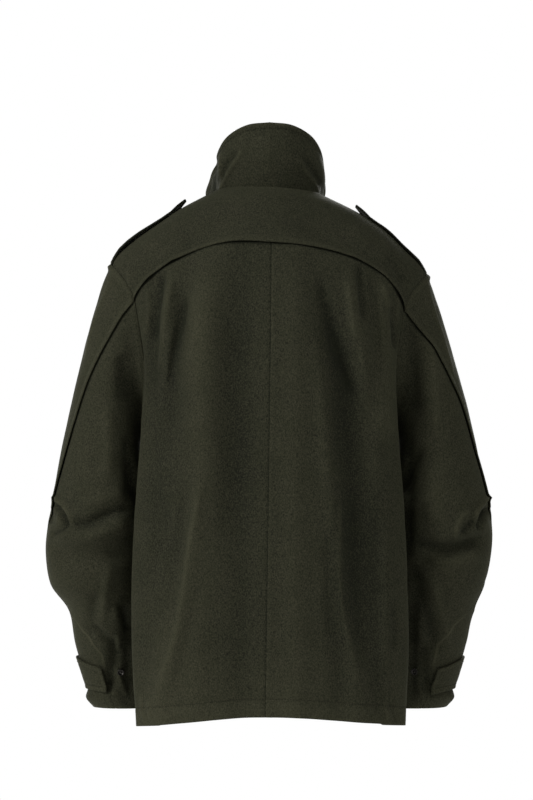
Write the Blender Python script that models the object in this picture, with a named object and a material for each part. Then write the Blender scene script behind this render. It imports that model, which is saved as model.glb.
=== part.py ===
"""Short field parka in heavy brushed cloth, standing open and hollow as it is worn.

Metres, +Z up. The wearer faces -Y and the wearer's left is +X. The origin is the middle of the neck
opening, level with the collar seam at the nape. Every cloth piece is cut from one draped form: its outer
points are worked out first, and the wall is made inwards from them with a mitre at each seam, so that
neighbours meet edge to edge. What lies on a panel is made from the same form, moved out.
"""

import math

import bpy
import numpy as np

# ---------------------------------------------------------------- driving sizes
CLOTH = 0.002
DOUBLED_CLOTH = 0.003
SEAM_GAP = 0.0003
RESTING_GAP = 0.0005
SPLIT = np.array([1.0, 1.7, 2.3])
LEFT, RIGHT = 1, -1

# Columns and rows of the panels' points. Neighbours share the counts along a common seam.
BACK_COLUMNS = 12
SIDE_ROWS = 14
ARMHOLE_ROWS = 8
YOKE_CAP_COLUMNS = 8
YOKE_ROWS = 5
NECK_FRONT_COLUMNS = 5
COLLAR_ROWS = 6
SLEEVE_ROWS = 30

OLIVE = (46, 46, 36)  # as seen, 0 to 255
DARK_METAL = (20, 20, 19)


def smooth(t):
    """0 below 0, 1 above 1, and an S between them."""
    t = np.clip(t, 0.0, 1.0)
    return t * t * (3 - 2 * t)


def mix(a, b, t):
    return a + (b - a) * t


def along_rows(table, at):
    """A smooth curve through the rows of a table, read at a row number that may be a fraction."""
    rows = np.asarray(table, float)
    rows = np.vstack([2 * rows[0] - rows[1], rows, 2 * rows[-1] - rows[-2]])
    last = len(table) - 2
    i = np.clip(np.floor(at).astype(int), 0, last)
    t = (at - i)[..., None]
    p0, p1, p2, p3 = (rows[i + k] for k in range(4))
    return 0.5 * (2 * p1 + (p2 - p0) * t + (2 * p0 - 5 * p1 + 4 * p2 - p3) * t**2
                  + (3 * p1 - p0 - 3 * p2 + p3) * t**3)


def read(table, at):
    """A table of two columns, read between its rows."""
    columns = np.asarray(table, float)
    return np.interp(at, columns[:, 0], columns[:, 1])


# ---------------------------------------------------------------- the body's form
# One row for each ring, from the hem to the neck seam. A ring passes its heights at the side, the back
# and the front. half_back is its half width at the shoulder blades' side fold and half_side its half
# width under the arm, which presses the cloth in. square is 2 for an ellipse and more for a squarer ring.
#    side_z  back_z front_z half_back half_side back_y front_y square
RINGS = [
    (-0.774, -0.750, -0.762, 0.2075, 0.158, 0.150, 0.146, 2.8),  # hem
    (-0.634, -0.624, -0.634, 0.2165, 0.158, 0.157, 0.145, 2.8),  # seat
    (-0.494, -0.489, -0.494, 0.215, 0.156, 0.154, 0.142, 2.7),  # waist
    (-0.359, -0.354, -0.359, 0.202, 0.156, 0.154, 0.142, 2.7),  # armpit
    (-0.256, -0.209, -0.254, 0.196, 0.175, 0.150, 0.136, 2.6),  # middle of the armhole
    (-0.172, -0.083, -0.174, 0.2155, 0.2095, 0.130, 0.118, 2.4),  # yoke seam
    (-0.107, -0.042, -0.129, 0.230, 0.230, 0.108, 0.100, 2.2),  # shoulder point
    (-0.039, -0.014, -0.099, 0.150, 0.150, 0.088, 0.086, 2.1),  # middle of the shoulder
    (0.003, 0.000, -0.074, 0.0735, 0.0735, 0.068, 0.076, 2.0),  # neck seam
]
HEM, ARMPIT, YOKE_SEAM, SHOULDER, NECK = 0, 3, 5, 6, 8
SIDE_FOLD_FROM, SIDE_FOLD_TO = math.radians(62), math.radians(84)
RIGHT_DROP, RIGHT_TIP_DROP, RIGHT_INWARDS = 0.0062, 0.0085, 0.001
HEM_RISE = {LEFT: 0.016, RIGHT: 0.022}  # how far the hem lifts for each metre out from the middle
HEM_FLARE = 0.005  # how much further out the hem stands on the right

# Soft folds of the back and fronts: three points down each fold, as x and z, then its half width and its
# height, which is below zero for a trough.
#    x_top  z_top   x_mid  z_mid   x_low  z_low   half_width height
BACK_FOLDS = [
    (0.160, -0.104, 0.165, -0.184, 0.172, -0.324, 0.011, -0.006),
    (0.140, -0.094, 0.143, -0.194, 0.146, -0.324, 0.013, 0.005),
    (0.118, -0.104, 0.130, -0.244, 0.146, -0.414, 0.016, -0.009),
    (0.095, -0.104, 0.098, -0.224, 0.104, -0.414, 0.020, 0.005),
    (0.100, -0.374, 0.113, -0.554, 0.158, -0.754, 0.011, 0.007),
    (0.054, -0.124, 0.049, -0.254, 0.054, -0.554, 0.026, -0.007),
    (0.140, -0.354, 0.155, -0.554, 0.172, -0.784, 0.016, -0.006),
    (-0.070, -0.104, -0.112, -0.324, -0.120, -0.734, 0.024, -0.011),
    (-0.112, -0.104, -0.128, -0.194, -0.140, -0.324, 0.012, 0.006),
    (-0.150, -0.104, -0.150, -0.184, -0.152, -0.294, 0.010, -0.006),
    (-0.060, -0.144, -0.086, -0.394, -0.126, -0.784, 0.014, 0.005),
    (-0.150, -0.334, -0.160, -0.554, -0.160, -0.784, 0.016, 0.005),
]
FRONT_FOLDS = [
    (0.085, -0.194, 0.100, -0.414, 0.125, -0.754, 0.020, -0.008),
    (0.060, -0.294, 0.066, -0.534, 0.080, -0.784, 0.020, 0.005),
    (0.118, -0.294, 0.130, -0.494, 0.138, -0.754, 0.015, 0.006),
    (-0.090, -0.214, -0.102, -0.444, -0.116, -0.774, 0.022, -0.008),
    (-0.060, -0.254, -0.070, -0.514, -0.092, -0.784, 0.020, 0.005),
    (-0.126, -0.324, -0.130, -0.534, -0.142, -0.774, 0.014, 0.006),
]
FOLD_FADE = 0.28  # the share of a fold's length over which it dies away at each end


def fold_height(x, z, folds):
    """The height that the folds add at x and z, seen square on."""
    total = np.zeros(np.broadcast(x, z).shape)
    for x_top, z_top, x_mid, z_mid, x_low, z_low, half_width, height in folds:
        down = (z_top - z) / (z_top - z_low)
        middle = (z_top - z_mid) / (z_top - z_low)
        bow = (x_mid - mix(x_top, x_low, middle)) / (middle * (1 - middle))
        centre = mix(x_top, x_low, down) + bow * down * (1 - down)
        ends = smooth(down / FOLD_FADE) * smooth((1 - down) / FOLD_FADE)
        total = total + height * ends * np.exp(-(((x - centre) / half_width) ** 2))
    return total


def settled(points):
    """The right shoulder carried a little lower and further in than the left, dying away below the arm."""
    x, z = points[..., 0], points[..., 2]
    share = smooth((z + 0.50) / 0.28)
    drop = RIGHT_DROP * smooth(-x / 0.08) + RIGHT_TIP_DROP * smooth((-x - 0.16) / 0.045)
    inwards = RIGHT_INWARDS * smooth((-x - 0.10) / 0.10)
    return points + np.stack([inwards * share, np.zeros(x.shape), -drop * share], axis=-1)


def body_point(turn, level):
    """A point of the draped body: turn is the angle from the centre back towards +X, and level a ring."""
    turn, level = np.broadcast_arrays(np.asarray(turn, float), np.asarray(level, float))
    side_z, back_z, front_z, half_back, half_side, back_y, front_y, square = np.moveaxis(
        along_rows(RINGS, level), -1, 0)
    across, along = np.sin(turn), np.cos(turn)
    pressed = smooth((np.abs(turn) - SIDE_FOLD_FROM) / (SIDE_FOLD_TO - SIDE_FOLD_FROM))
    half = mix(half_back, half_side, pressed)
    depth = np.where(along > 0, back_y, front_y)
    reach = (np.abs(across / half) ** square + np.abs(along / depth) ** square) ** (-1 / square)
    z = mix(side_z, np.where(along > 0, back_z, front_z), along**2)
    x, y = reach * across, reach * along
    z = z + np.where(x > 0, HEM_RISE[LEFT], HEM_RISE[RIGHT]) * np.abs(x) * smooth(-z / 0.7)
    x = x - HEM_FLARE * smooth((-z - 0.55) / 0.2) * smooth((-x - 0.10) / 0.08)
    facing = smooth((np.abs(along) - 0.15) / 0.3)
    height = np.where(along > 0, fold_height(x, z, BACK_FOLDS), fold_height(x, z, FRONT_FOLDS))
    y = y + np.sign(along) * height * facing
    return settled(np.stack([x, y, z], axis=-1))


# ---------------------------------------------------------------- the panels' seams on the body
ARMHOLE_HALF_TURN = math.radians(20)
ARMHOLE_MIDDLE = (SHOULDER + ARMPIT) / 2
ARMHOLE_HALF_RISE = (SHOULDER - ARMPIT) / 2
BACK_NOTCH = math.acos((YOKE_SEAM - ARMHOLE_MIDDLE) / ARMHOLE_HALF_RISE)  # where the yoke seam meets it
FRONT_NOTCH = math.radians(48)
FORWARD_SEAM_AT_NECK = math.radians(116)
SIDE_SEAM = math.pi / 2
YOKE_BOW = {LEFT: 0.54, RIGHT: 0.61}  # how far, in rings, the yoke seam arches above a level line
CENTRE_BACK_LEAN = [(HEM, 1.9), (YOKE_SEAM, -1.6)]  # ring, degrees towards the left


def armhole(round_it):
    """Turn and level on the body, 0 at the shoulder point, a quarter turn at the back, half at the armpit."""
    turn = math.pi / 2 - ARMHOLE_HALF_TURN * np.sin(round_it)
    return np.stack([turn, ARMHOLE_MIDDLE + ARMHOLE_HALF_RISE * np.cos(round_it)], axis=-1)


def coons(bottom, top, left, right):
    """Fills between four edges of points. bottom and top run left to right, left and right run upwards."""
    s = np.linspace(0, 1, len(bottom))[None, :, None]
    t = np.linspace(0, 1, len(left))[:, None, None]
    ruled = (1 - t) * bottom[None] + t * top[None] + (1 - s) * left[:, None] + s * right[:, None]
    corners = ((1 - s) * (1 - t) * bottom[0] + s * (1 - t) * bottom[-1]
               + (1 - s) * t * top[0] + s * t * top[-1])
    return ruled - corners


def line(start, end, count):
    """Points from start to end, each a turn and a level, with count steps."""
    return np.linspace(np.asarray(start, float), np.asarray(end, float), count + 1)


def mirrored(points, side):
    return points * np.array([side, 1.0, 1.0])


def on_body(chart, side):
    """Chart points, a turn and a level each, as points of the body on one side."""
    return body_point(side * chart[..., 0], chart[..., 1])


ARMHOLE_BACK = np.linspace(math.pi, BACK_NOTCH, ARMHOLE_ROWS + 1)
ARMHOLE_FRONT = np.linspace(math.pi, 2 * math.pi - FRONT_NOTCH, ARMHOLE_ROWS + 1)
ARMHOLE_YOKE = np.linspace(BACK_NOTCH, -FRONT_NOTCH, YOKE_CAP_COLUMNS + 1)


def lower_rows(from_turn, to_turn, columns):
    """Chart rows from the hem up to the armpit, without the armpit's own row."""
    levels = np.linspace(HEM, ARMPIT, SIDE_ROWS + 1)[:-1, None]
    share = np.linspace(0, 1, columns + 1)[None, :]
    turns = mix(from_turn(levels), to_turn, share)
    return np.stack(np.broadcast_arrays(turns, levels), axis=-1)


def yoke_seam(side):
    seam = line((side * math.radians(read(CENTRE_BACK_LEAN, YOKE_SEAM)), YOKE_SEAM), armhole(BACK_NOTCH),
                BACK_COLUMNS)
    share = np.linspace(0, 1, len(seam))
    seam[:, 1] += YOKE_BOW[side] * np.sin(math.pi * share**1.9)
    return seam


def back_chart(side):
    """From the centre back, in column 0, to the side seam and the armhole."""
    def centre(levels):
        return side * np.radians(read(CENTRE_BACK_LEAN, levels))

    centre_levels = np.linspace(ARMPIT, YOKE_SEAM, ARMHOLE_ROWS + 1)
    centre_line = np.stack([centre(centre_levels), centre_levels], axis=-1)
    upper = coons(line(centre_line[0], (SIDE_SEAM, ARMPIT), BACK_COLUMNS), yoke_seam(side), centre_line,
                  armhole(ARMHOLE_BACK))
    return np.concatenate([lower_rows(centre, SIDE_SEAM, BACK_COLUMNS), upper])


def front_chart():
    """From the side seam, in column 0, to the centre front."""
    columns = YOKE_ROWS + NECK_FRONT_COLUMNS
    neck_corner = (FORWARD_SEAM_AT_NECK, NECK)
    top = np.concatenate([line(armhole(-FRONT_NOTCH), neck_corner, YOKE_ROWS),
                          line(neck_corner, (math.pi, NECK), NECK_FRONT_COLUMNS)[1:]])
    upper = coons(line((SIDE_SEAM, ARMPIT), (math.pi, ARMPIT), columns), top,
                  armhole(ARMHOLE_FRONT), line((math.pi, ARMPIT), (math.pi, NECK), ARMHOLE_ROWS))
    return np.concatenate([lower_rows(lambda levels: SIDE_SEAM, math.pi, columns), upper])


def yoke_half_chart(side):
    """Rows from the outer edge to the neck; columns from the centre back round to the forward seam."""
    outer = np.concatenate([yoke_seam(side), armhole(ARMHOLE_YOKE)[1:]])
    share = np.linspace(0, 1, len(outer))
    neck = np.stack([FORWARD_SEAM_AT_NECK * share, np.full(len(outer), float(NECK))], axis=-1)
    rows = np.linspace(0, 1, YOKE_ROWS + 1)[:, None, None]
    return outer[None] * (1 - rows) + neck[None] * rows


# ---------------------------------------------------------------- the sleeve's form
# One row for each ring of the sleeve, from the armhole to the cuff's edge: its outermost and innermost
# points as x and z, its middle in y, its half depth from front to back and its squareness.
#    outer_x outer_z inner_x inner_z middle_y half_y square
SLEEVE_RINGS = [
    (0.230, -0.107, 0.160, -0.359, 0.000, 0.080, 2.0),  # armhole
    (0.244, -0.142, 0.176, -0.352, -0.006, 0.081, 2.0),
    (0.263, -0.209, 0.184, -0.362, -0.009, 0.084, 2.0),
    (0.284, -0.294, 0.180, -0.393, -0.010, 0.086, 2.1),  # upper arm
    (0.302, -0.374, 0.175, -0.431, -0.010, 0.086, 2.1),
    (0.315, -0.446, 0.175, -0.474, -0.011, 0.085, 2.1),  # above the elbow
    (0.324, -0.516, 0.176, -0.524, -0.014, 0.083, 2.1),  # elbow
    (0.318, -0.569, 0.176, -0.569, -0.018, 0.078, 2.1),
    (0.292, -0.609, 0.175, -0.606, -0.026, 0.071, 2.1),  # below the elbow
    (0.283, -0.659, 0.174, -0.654, -0.037, 0.060, 2.1),
    (0.270, -0.702, 0.174, -0.694, -0.046, 0.052, 2.1),  # strap
    (0.265, -0.721, 0.174, -0.714, -0.049, 0.050, 2.1),  # drawn in below the strap
    (0.268, -0.736, 0.173, -0.732, -0.051, 0.052, 2.1),
    (0.258, -0.749, 0.174, -0.749, -0.053, 0.048, 2.1),  # cuff edge
]
# The right arm is bent a little more, so its elbow is higher: how much further out and higher its outer
# points are than the left one's.
#    ring out up
RIGHT_ELBOW = [(0, 0.0, 0.0), (1, -0.0015, 0.0), (2, 0.0005, 0.0), (3, 0.002, 0.0), (4, 0.001, 0.0),
               (5, 0.003, 0.004), (6, 0.0, 0.013), (7, -0.005, 0.004), (8, 0.005, 0.0), (9, 0.002, 0.0),
               (10, 0.003, 0.0), (13, 0.002, 0.0)]
CAP_FADE = 3.0  # rings over which the sleeve leaves the armhole's own shape
BACK_SEAM_ROUND = {  # ring, angle round the sleeve from its outside towards its back
    LEFT: [(0.0, math.degrees(BACK_NOTCH)), (1.5, 58), (3.0, 44), (4.5, 29), (5.4, 18), (6.0, 3), (7.0, 0),
           (8.0, 18), (8.4, 40), (8.8, 59), (9.3, 75), (13.0, 80)],
    RIGHT: [(0.0, math.degrees(BACK_NOTCH)), (1.5, 51), (3.0, 34), (4.5, 21), (5.4, 15), (6.0, 3), (7.0, 0),
            (7.6, 8), (8.0, 34), (8.4, 58), (9.0, 78), (13.0, 84)],
}
FRONT_SEAM_ROUND = [(0.0, -100.0), (4.0, -112.0), (13.0, -112.0)]
FRONT_SEAM_ROWS = 4  # armhole rows of the front panel between its yoke notch and the sleeve's front seam

# Soft folds across the sleeve, each from one place to another as an angle round it and a ring.
#    angle_a ring_a angle_b ring_b half_width height
SLEEVE_FOLDS = {
    LEFT: [
        (20, 6.05, 150, 6.2, 0.013, -0.008),
        (30, 5.65, 120, 5.7, 0.013, 0.005),
        (110, 3.2, 160, 4.9, 0.014, -0.009),
        (100, 4.9, 165, 5.4, 0.012, 0.005),
        (85, 8.4, 150, 7.6, 0.012, 0.005),
        (90, 9.3, 160, 8.3, 0.012, -0.006),
        (-30, 6.3, -130, 6.1, 0.014, -0.008),
        (-40, 5.7, -120, 5.3, 0.014, 0.005),
        (-60, 8.6, -150, 7.8, 0.013, -0.005),
    ],
    RIGHT: [
        (25, 5.9, 150, 6.5, 0.014, -0.008),
        (20, 5.5, 110, 5.8, 0.013, 0.005),
        (105, 3.0, 160, 4.5, 0.014, -0.009),
        (90, 4.7, 165, 4.4, 0.011, 0.006),
        (80, 8.2, 160, 7.3, 0.013, 0.005),
        (90, 9.2, 160, 8.5, 0.012, -0.006),
        (-25, 6.1, -130, 6.4, 0.014, -0.008),
        (-40, 5.5, -120, 5.6, 0.014, 0.005),
        (-60, 8.4, -150, 8.0, 0.013, -0.005),
    ],
}
METRES_PER_ANGLE, METRES_PER_RING = 0.078, 0.050  # the sleeve rolled out flat, for a fold's width
SLEEVE_FOLDS_FROM, SLEEVE_FOLDS_TO = 1.0, 9.3  # rings; the armhole and the cuff stay plain


def sleeve_ring_point(round_it, ring, side):
    """A point of the plain sleeve: its angle from the outside towards the back, and its ring."""
    outer_x, outer_z, inner_x, inner_z, middle_y, half_y, square = np.moveaxis(
        along_rows(SLEEVE_RINGS, ring), -1, 0)
    if side == RIGHT:
        bend = np.array(RIGHT_ELBOW)
        outer_x = outer_x + np.interp(ring, bend[:, 0], bend[:, 1])
        outer_z = outer_z + np.interp(ring, bend[:, 0], bend[:, 2])
    out, back = np.cos(round_it), np.sin(round_it)
    reach = (np.abs(out) ** square + np.abs(back) ** square) ** (-1 / square)
    share = (1 + out * reach) / 2
    return np.stack([mix(inner_x, outer_x, share), middle_y + half_y * back * reach,
                     mix(inner_z, outer_z, share)], axis=-1)


def sleeve_fold_height(round_it, ring, side):
    wrapped = (round_it + math.pi) % (2 * math.pi) - math.pi
    total = np.zeros(round_it.shape)
    for angle_a, ring_a, angle_b, ring_b, half_width, height in SLEEVE_FOLDS[side]:
        start = np.array([math.radians(angle_a) * METRES_PER_ANGLE, ring_a * METRES_PER_RING])
        run = np.array([math.radians(angle_b) * METRES_PER_ANGLE, ring_b * METRES_PER_RING]) - start
        offset = np.stack([wrapped * METRES_PER_ANGLE, ring * METRES_PER_RING], axis=-1) - start
        t = (offset @ run) / (run @ run)
        away = np.linalg.norm(offset - t[..., None] * run, axis=-1)
        total += height * np.exp(-((away / half_width) ** 2)) * smooth(t / 0.3) * smooth((1 - t) / 0.3)
    return total * smooth(ring - SLEEVE_FOLDS_FROM) * smooth(SLEEVE_FOLDS_TO - ring)


def sleeve_point(round_it, armhole_at, ring, side):
    """The sleeve with its cap eased onto the armhole at the angle armhole_at."""
    plain = sleeve_ring_point(round_it, ring, side)
    out = np.stack([np.cos(round_it), np.sin(round_it), np.zeros(round_it.shape)], axis=-1)
    plain = plain + out * sleeve_fold_height(round_it, ring, side)[..., None]
    start = sleeve_ring_point(armhole_at, np.zeros_like(armhole_at), side)
    edge = on_body(armhole(armhole_at), side)
    ease = 1 - smooth(ring / CAP_FADE)
    return settled(mirrored(plain, side)) + (edge - settled(mirrored(start, side))) * ease[..., None]


def sleeve_panel(armhole_angles, first_seam, last_seam, side, last_turn=0.0):
    """A sleeve panel: rows down the sleeve, columns between two seams, started from its armhole points."""
    ring = np.linspace(0, 1, SLEEVE_ROWS + 1)[:, None] * (len(SLEEVE_RINGS) - 1)
    share = np.linspace(0, 1, len(armhole_angles))[None, :]
    even = mix(np.radians(read(first_seam, ring)), np.radians(read(last_seam, ring)) + last_turn, share)
    start = np.broadcast_to(np.asarray(armhole_angles)[None, :], even.shape)
    angle = mix(start, even, smooth(ring / CAP_FADE))
    return sleeve_point(angle, start, np.broadcast_to(ring, even.shape), side)


# ---------------------------------------------------------------- the collar's form
# Its top edge from the centre back round to the front corner, turned up and falling open.
#    turn   x      y       z
COLLAR_TOP = [
    (0, 0.000, 0.083, 0.089), (22, 0.032, 0.077, 0.086), (45, 0.059, 0.058, 0.074), (68, 0.074, 0.030, 0.057),
    (90, 0.080, -0.006, 0.038), (115, 0.084, -0.048, 0.018), (140, 0.083, -0.090, -0.001),
    (170, 0.062, -0.122, -0.012),
]
COLLAR_BELLY = 0.005  # how far the collar bows out between its edges
COLLAR_WING = {LEFT: 0.006, RIGHT: -0.002}  # the left wing falls further open
COLLAR_FLARE = {LEFT: 0.004, RIGHT: 0.0}  # and its lower end further still


def collar_half(neck_turns, side):
    """Rows from the neck seam to the top edge, columns from the centre back to the front corner."""
    base = on_body(np.stack([neck_turns, np.full(len(neck_turns), float(NECK))], axis=-1), side)
    table = np.asarray(COLLAR_TOP, float)
    top = along_rows(table[:, 1:], np.interp(np.degrees(neck_turns), table[:, 0], np.arange(len(table))))
    top[:, 0] += (COLLAR_WING[side] * smooth(neck_turns - 1.3)
                  + COLLAR_FLARE[side] * smooth((neck_turns - 1.9) / 0.5))
    top = mirrored(top, side)
    rise = np.linspace(0, 1, COLLAR_ROWS + 1)[:, None, None]
    outward = np.stack([side * np.sin(neck_turns), np.cos(neck_turns), 0 * neck_turns], axis=-1)
    return mix(base[None], top[None], rise) + outward[None] * COLLAR_BELLY * np.sin(math.pi * rise) ** 2


# ---------------------------------------------------------------- walls
def cell_normals(grid):
    """The normal of each cell of a grid of points, as long as twice the cell's area."""
    return np.cross(grid[1:, 1:] - grid[:-1, :-1], grid[1:, :-1] - grid[:-1, 1:])


def corner_normals(grid):
    """Unit normals at a grid's own points."""
    cells = cell_normals(grid)
    total = np.zeros(grid.shape)
    for r in (slice(0, -1), slice(1, None)):
        for c in (slice(0, -1), slice(1, None)):
            total[r, c] += cells
    return total / np.linalg.norm(total, axis=-1, keepdims=True)


def meeting(point):
    return tuple(np.round(point, 6) + 0.0)


def mitred_inner(grids, thicknesses):
    """Every grid's inner points. Where panels meet, the point lies one thickness in from each of them."""
    met = {}
    for grid in grids.values():
        for point, normal in zip(grid.reshape(-1, 3), corner_normals(grid).reshape(-1, 3)):
            met.setdefault(meeting(point), []).append(normal)
    inner = {}
    for name, grid in grids.items():
        thickness = thicknesses[name]
        moved = np.empty(grid.shape)
        for index in np.ndindex(grid.shape[:2]):
            normals = np.array(met[meeting(grid[index])])
            pull = normals.T @ normals + 0.02 * np.eye(3)
            step = np.linalg.solve(pull, normals.T @ np.full(len(normals), -thickness))
            moved[index] = grid[index] + step * min(1.0, 2.0 * thickness / np.linalg.norm(step))
        inner[name] = moved
    return inner


def drawn_in(grid, distance):
    """The grid with its four edges moved inwards along the cloth."""
    grid = grid.copy()
    for edge, beside in ((0, 1), (-1, -2)):
        step = grid[beside] - grid[edge]
        grid[edge] += step * distance / np.linalg.norm(step, axis=-1, keepdims=True)
    for edge, beside in ((0, 1), (-1, -2)):
        step = grid[:, beside] - grid[:, edge]
        grid[:, edge] += step * distance / np.linalg.norm(step, axis=-1, keepdims=True)
    return grid


def material(name, seen, roughness, metallic=0.0):
    """A plain material of the colour seen, given from 0 to 255."""
    made = bpy.data.materials.new(name)
    made.use_nodes = True
    shader = made.node_tree.nodes["Principled BSDF"]
    linear = [(c / 255 / 12.92) if c < 11 else ((c / 255 + 0.055) / 1.055) ** 2.4 for c in seen]
    shader.inputs["Base Color"].default_value = (*linear, 1)
    shader.inputs["Roughness"].default_value = roughness
    shader.inputs["Metallic"].default_value = metallic
    return made


def add_mesh(name, points, faces, made_of):
    mesh = bpy.data.meshes.new(name)
    mesh.from_pydata([tuple(map(float, p)) for p in points], [], faces)
    mesh.update()
    mesh.shade_smooth()
    mesh.set_sharp_from_angle(angle=math.radians(50))
    mesh.materials.append(made_of)
    obj = bpy.data.objects.new(name, mesh)
    bpy.context.scene.collection.objects.link(obj)
    return obj


def add_wall(name, outer, inner, made_of):
    """A closed wall between two grids of points. The outer grid's normals point out."""
    rows, columns = outer.shape[:2]

    def at(row, column, layer):
        return (layer * rows + row) * columns + column

    faces = []
    for r in range(rows - 1):
        for c in range(columns - 1):
            faces.append((at(r, c, 0), at(r, c + 1, 0), at(r + 1, c + 1, 0), at(r + 1, c, 0)))
            faces.append((at(r, c, 1), at(r + 1, c, 1), at(r + 1, c + 1, 1), at(r, c + 1, 1)))
    rim = ([(0, c) for c in range(columns)] + [(r, columns - 1) for r in range(1, rows)]
           + [(rows - 1, c) for c in range(columns - 2, -1, -1)] + [(r, 0) for r in range(rows - 2, 0, -1)])
    for (r0, c0), (r1, c1) in zip(rim, rim[1:] + rim[:1]):
        a, b, a_in, b_in = at(r0, c0, 0), at(r1, c1, 0), at(r0, c0, 1), at(r1, c1, 1)
        # Both panels of a seam split its mitre the same way, by which end lies further along SPLIT.
        if (outer[r0, c0] - outer[r1, c1]) @ SPLIT > 0:
            faces += [(b, a, b_in), (a, a_in, b_in)]
        else:
            faces += [(b, a, a_in), (b, a_in, b_in)]
    return add_mesh(name, np.concatenate([outer.reshape(-1, 3), inner.reshape(-1, 3)]), faces, made_of)


def add_strap(name, grid, lift, thickness, seen, axis):
    """A doubled strap on a grid of the form round an axis, lifted by the height given for each point."""
    if outward(grid, axis) is not grid:
        grid, lift = grid[:, ::-1], lift[:, ::-1]
    normals = corner_normals(grid)
    under = grid + normals * lift[..., None]
    over = under + normals * thickness
    return add_wall(name, over, under, material(name + "_cloth", seen, 0.9))


def on_grid(grid, row, column):
    """A point and a unit normal at a place between a grid's points."""
    r, c = int(row), int(column)
    s, t = column - c, row - r
    point = mix(mix(grid[r, c], grid[r, c + 1], s), mix(grid[r + 1, c], grid[r + 1, c + 1], s), t)
    normal = np.cross(grid[r + 1, c + 1] - grid[r, c], grid[r + 1, c] - grid[r, c + 1])
    return point, normal / np.linalg.norm(normal)


def add_turned(name, centre, axis, profile, segments, made_of):
    """A round solid about an axis through centre. The profile's rows are radius and height, from its
    middle below, round the rim, to its middle above."""
    across = np.cross(axis, (0.0, 0.0, 1.0))
    across /= np.linalg.norm(across)
    up = np.cross(axis, across)
    points = [centre + axis * profile[0][1]]
    for radius, height in profile[1:-1]:
        for k in range(segments):
            angle = 2 * math.pi * k / segments
            points.append(centre + axis * height + radius * (across * math.cos(angle) + up * math.sin(angle)))
    points.append(centre + axis * profile[-1][1])
    faces = []
    rings = len(profile) - 2
    for k in range(segments):
        after = (k + 1) % segments
        faces.append((0, 1 + after, 1 + k))
        for ring in range(rings - 1):
            low, high = 1 + ring * segments, 1 + (ring + 1) * segments
            faces.append((low + k, low + after, high + after, high + k))
        top = 1 + (rings - 1) * segments
        faces.append((len(points) - 1, top + k, top + after))
    return add_mesh(name, points, faces, made_of)


# ---------------------------------------------------------------- the panels
def outward(grid, towards):
    """The grid turned, if it must be, so that its normals point away from the line or point towards."""
    centre = (grid[1:, 1:] + grid[:-1, :-1]) / 2
    away = centre - towards(centre)
    return grid if (cell_normals(grid) * away).sum() > 0 else grid[:, ::-1]


def body_axis(points):
    return points * np.array([0.0, 0.0, 1.0]) - np.array([0.0, 0.0, 0.05])


def sleeve_axis(side):
    return lambda points: points * np.array([0.0, 0.0, 1.0]) + np.array([0.23 * side, -0.02, 0.0])


def panel_grids():
    """The outer points of every cut panel, by name."""
    grids = {}
    halves, collar_halves = {}, {}
    for side, word in ((LEFT, "left"), (RIGHT, "right")):
        grids["back_" + word] = outward(on_body(back_chart(side), side), body_axis)
        grids["front_" + word] = outward(on_body(front_chart(), side), body_axis)
        front_angles = ARMHOLE_FRONT - 2 * math.pi
        seam_row = ARMHOLE_ROWS - FRONT_SEAM_ROWS
        top_angles = np.concatenate([front_angles[seam_row:], ARMHOLE_YOKE[::-1][1:]])
        under_angles = np.concatenate([ARMHOLE_BACK[::-1], ARMHOLE_FRONT[1:seam_row + 1]])
        grids["sleeve_top_" + word] = outward(
            sleeve_panel(top_angles, FRONT_SEAM_ROUND, BACK_SEAM_ROUND[side], side), sleeve_axis(side))
        grids["sleeve_under_" + word] = outward(
            sleeve_panel(under_angles, BACK_SEAM_ROUND[side], FRONT_SEAM_ROUND, side, 2 * math.pi),
            sleeve_axis(side))
        half = yoke_half_chart(side)
        neck_turns = np.concatenate([half[-1, :, 0], np.linspace(FORWARD_SEAM_AT_NECK, math.pi,
                                                                NECK_FRONT_COLUMNS + 1)[1:-1]])
        halves[side] = on_body(half, side)
        collar_halves[side] = collar_half(neck_turns, side)
    grids["yoke"] = outward(np.concatenate([halves[RIGHT][:, :0:-1], halves[LEFT]], axis=1), body_axis)
    grids["collar"] = outward(np.concatenate([collar_halves[RIGHT][:, :0:-1], collar_halves[LEFT]], axis=1),
                              body_axis)
    return grids


def add_panels():
    grids = panel_grids()
    thicknesses = {name: DOUBLED_CLOTH if name == "collar" else CLOTH for name in grids}
    inner = mitred_inner(grids, thicknesses)
    for name, grid in grids.items():
        add_wall(name, drawn_in(grid, SEAM_GAP / 2), drawn_in(inner[name], SEAM_GAP / 2),
                 material(name + "_cloth", OLIVE, 0.9))
    return grids


# ---------------------------------------------------------------- shoulder straps
# One row for each line across the strap, from the armhole to its pointed free end. Its front edge rests on
# the shoulder and its back edge stands up off it.
#    x     half_width front_lift back_lift
EPAULETTE = [
    (0.2265, 0.026, -0.0005, -0.0005), (0.214, 0.026, 0.0020, 0.0030), (0.200, 0.0255, 0.0025, 0.0038),
    (0.184, 0.0245, 0.0020, 0.0035), (0.168, 0.0235, 0.0012, 0.0022), (0.153, 0.0225, 0.0008, 0.0014),
    (0.141, 0.0215, 0.0008, 0.0016), (0.130, 0.014, 0.0022, 0.0044), (0.119, 0.004, 0.0058, 0.0068),
]
EPAULETTE_COLUMNS = 6
EPAULETTE_SHORTER = {LEFT: 0.0, RIGHT: 0.035}  # the share by which its free end falls short


def shoulder_chart(x, y):
    """The turn and level of the body's point above x and y, between the shoulder point and the neck."""
    turn = math.atan2(x, y)
    levels = np.linspace(SHOULDER, NECK, 81)
    points = body_point(np.full(levels.shape, turn), levels)
    reach = np.hypot(points[:, 0], points[:, 1])
    return turn, np.interp(-math.hypot(x, y), -reach, levels)


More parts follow.
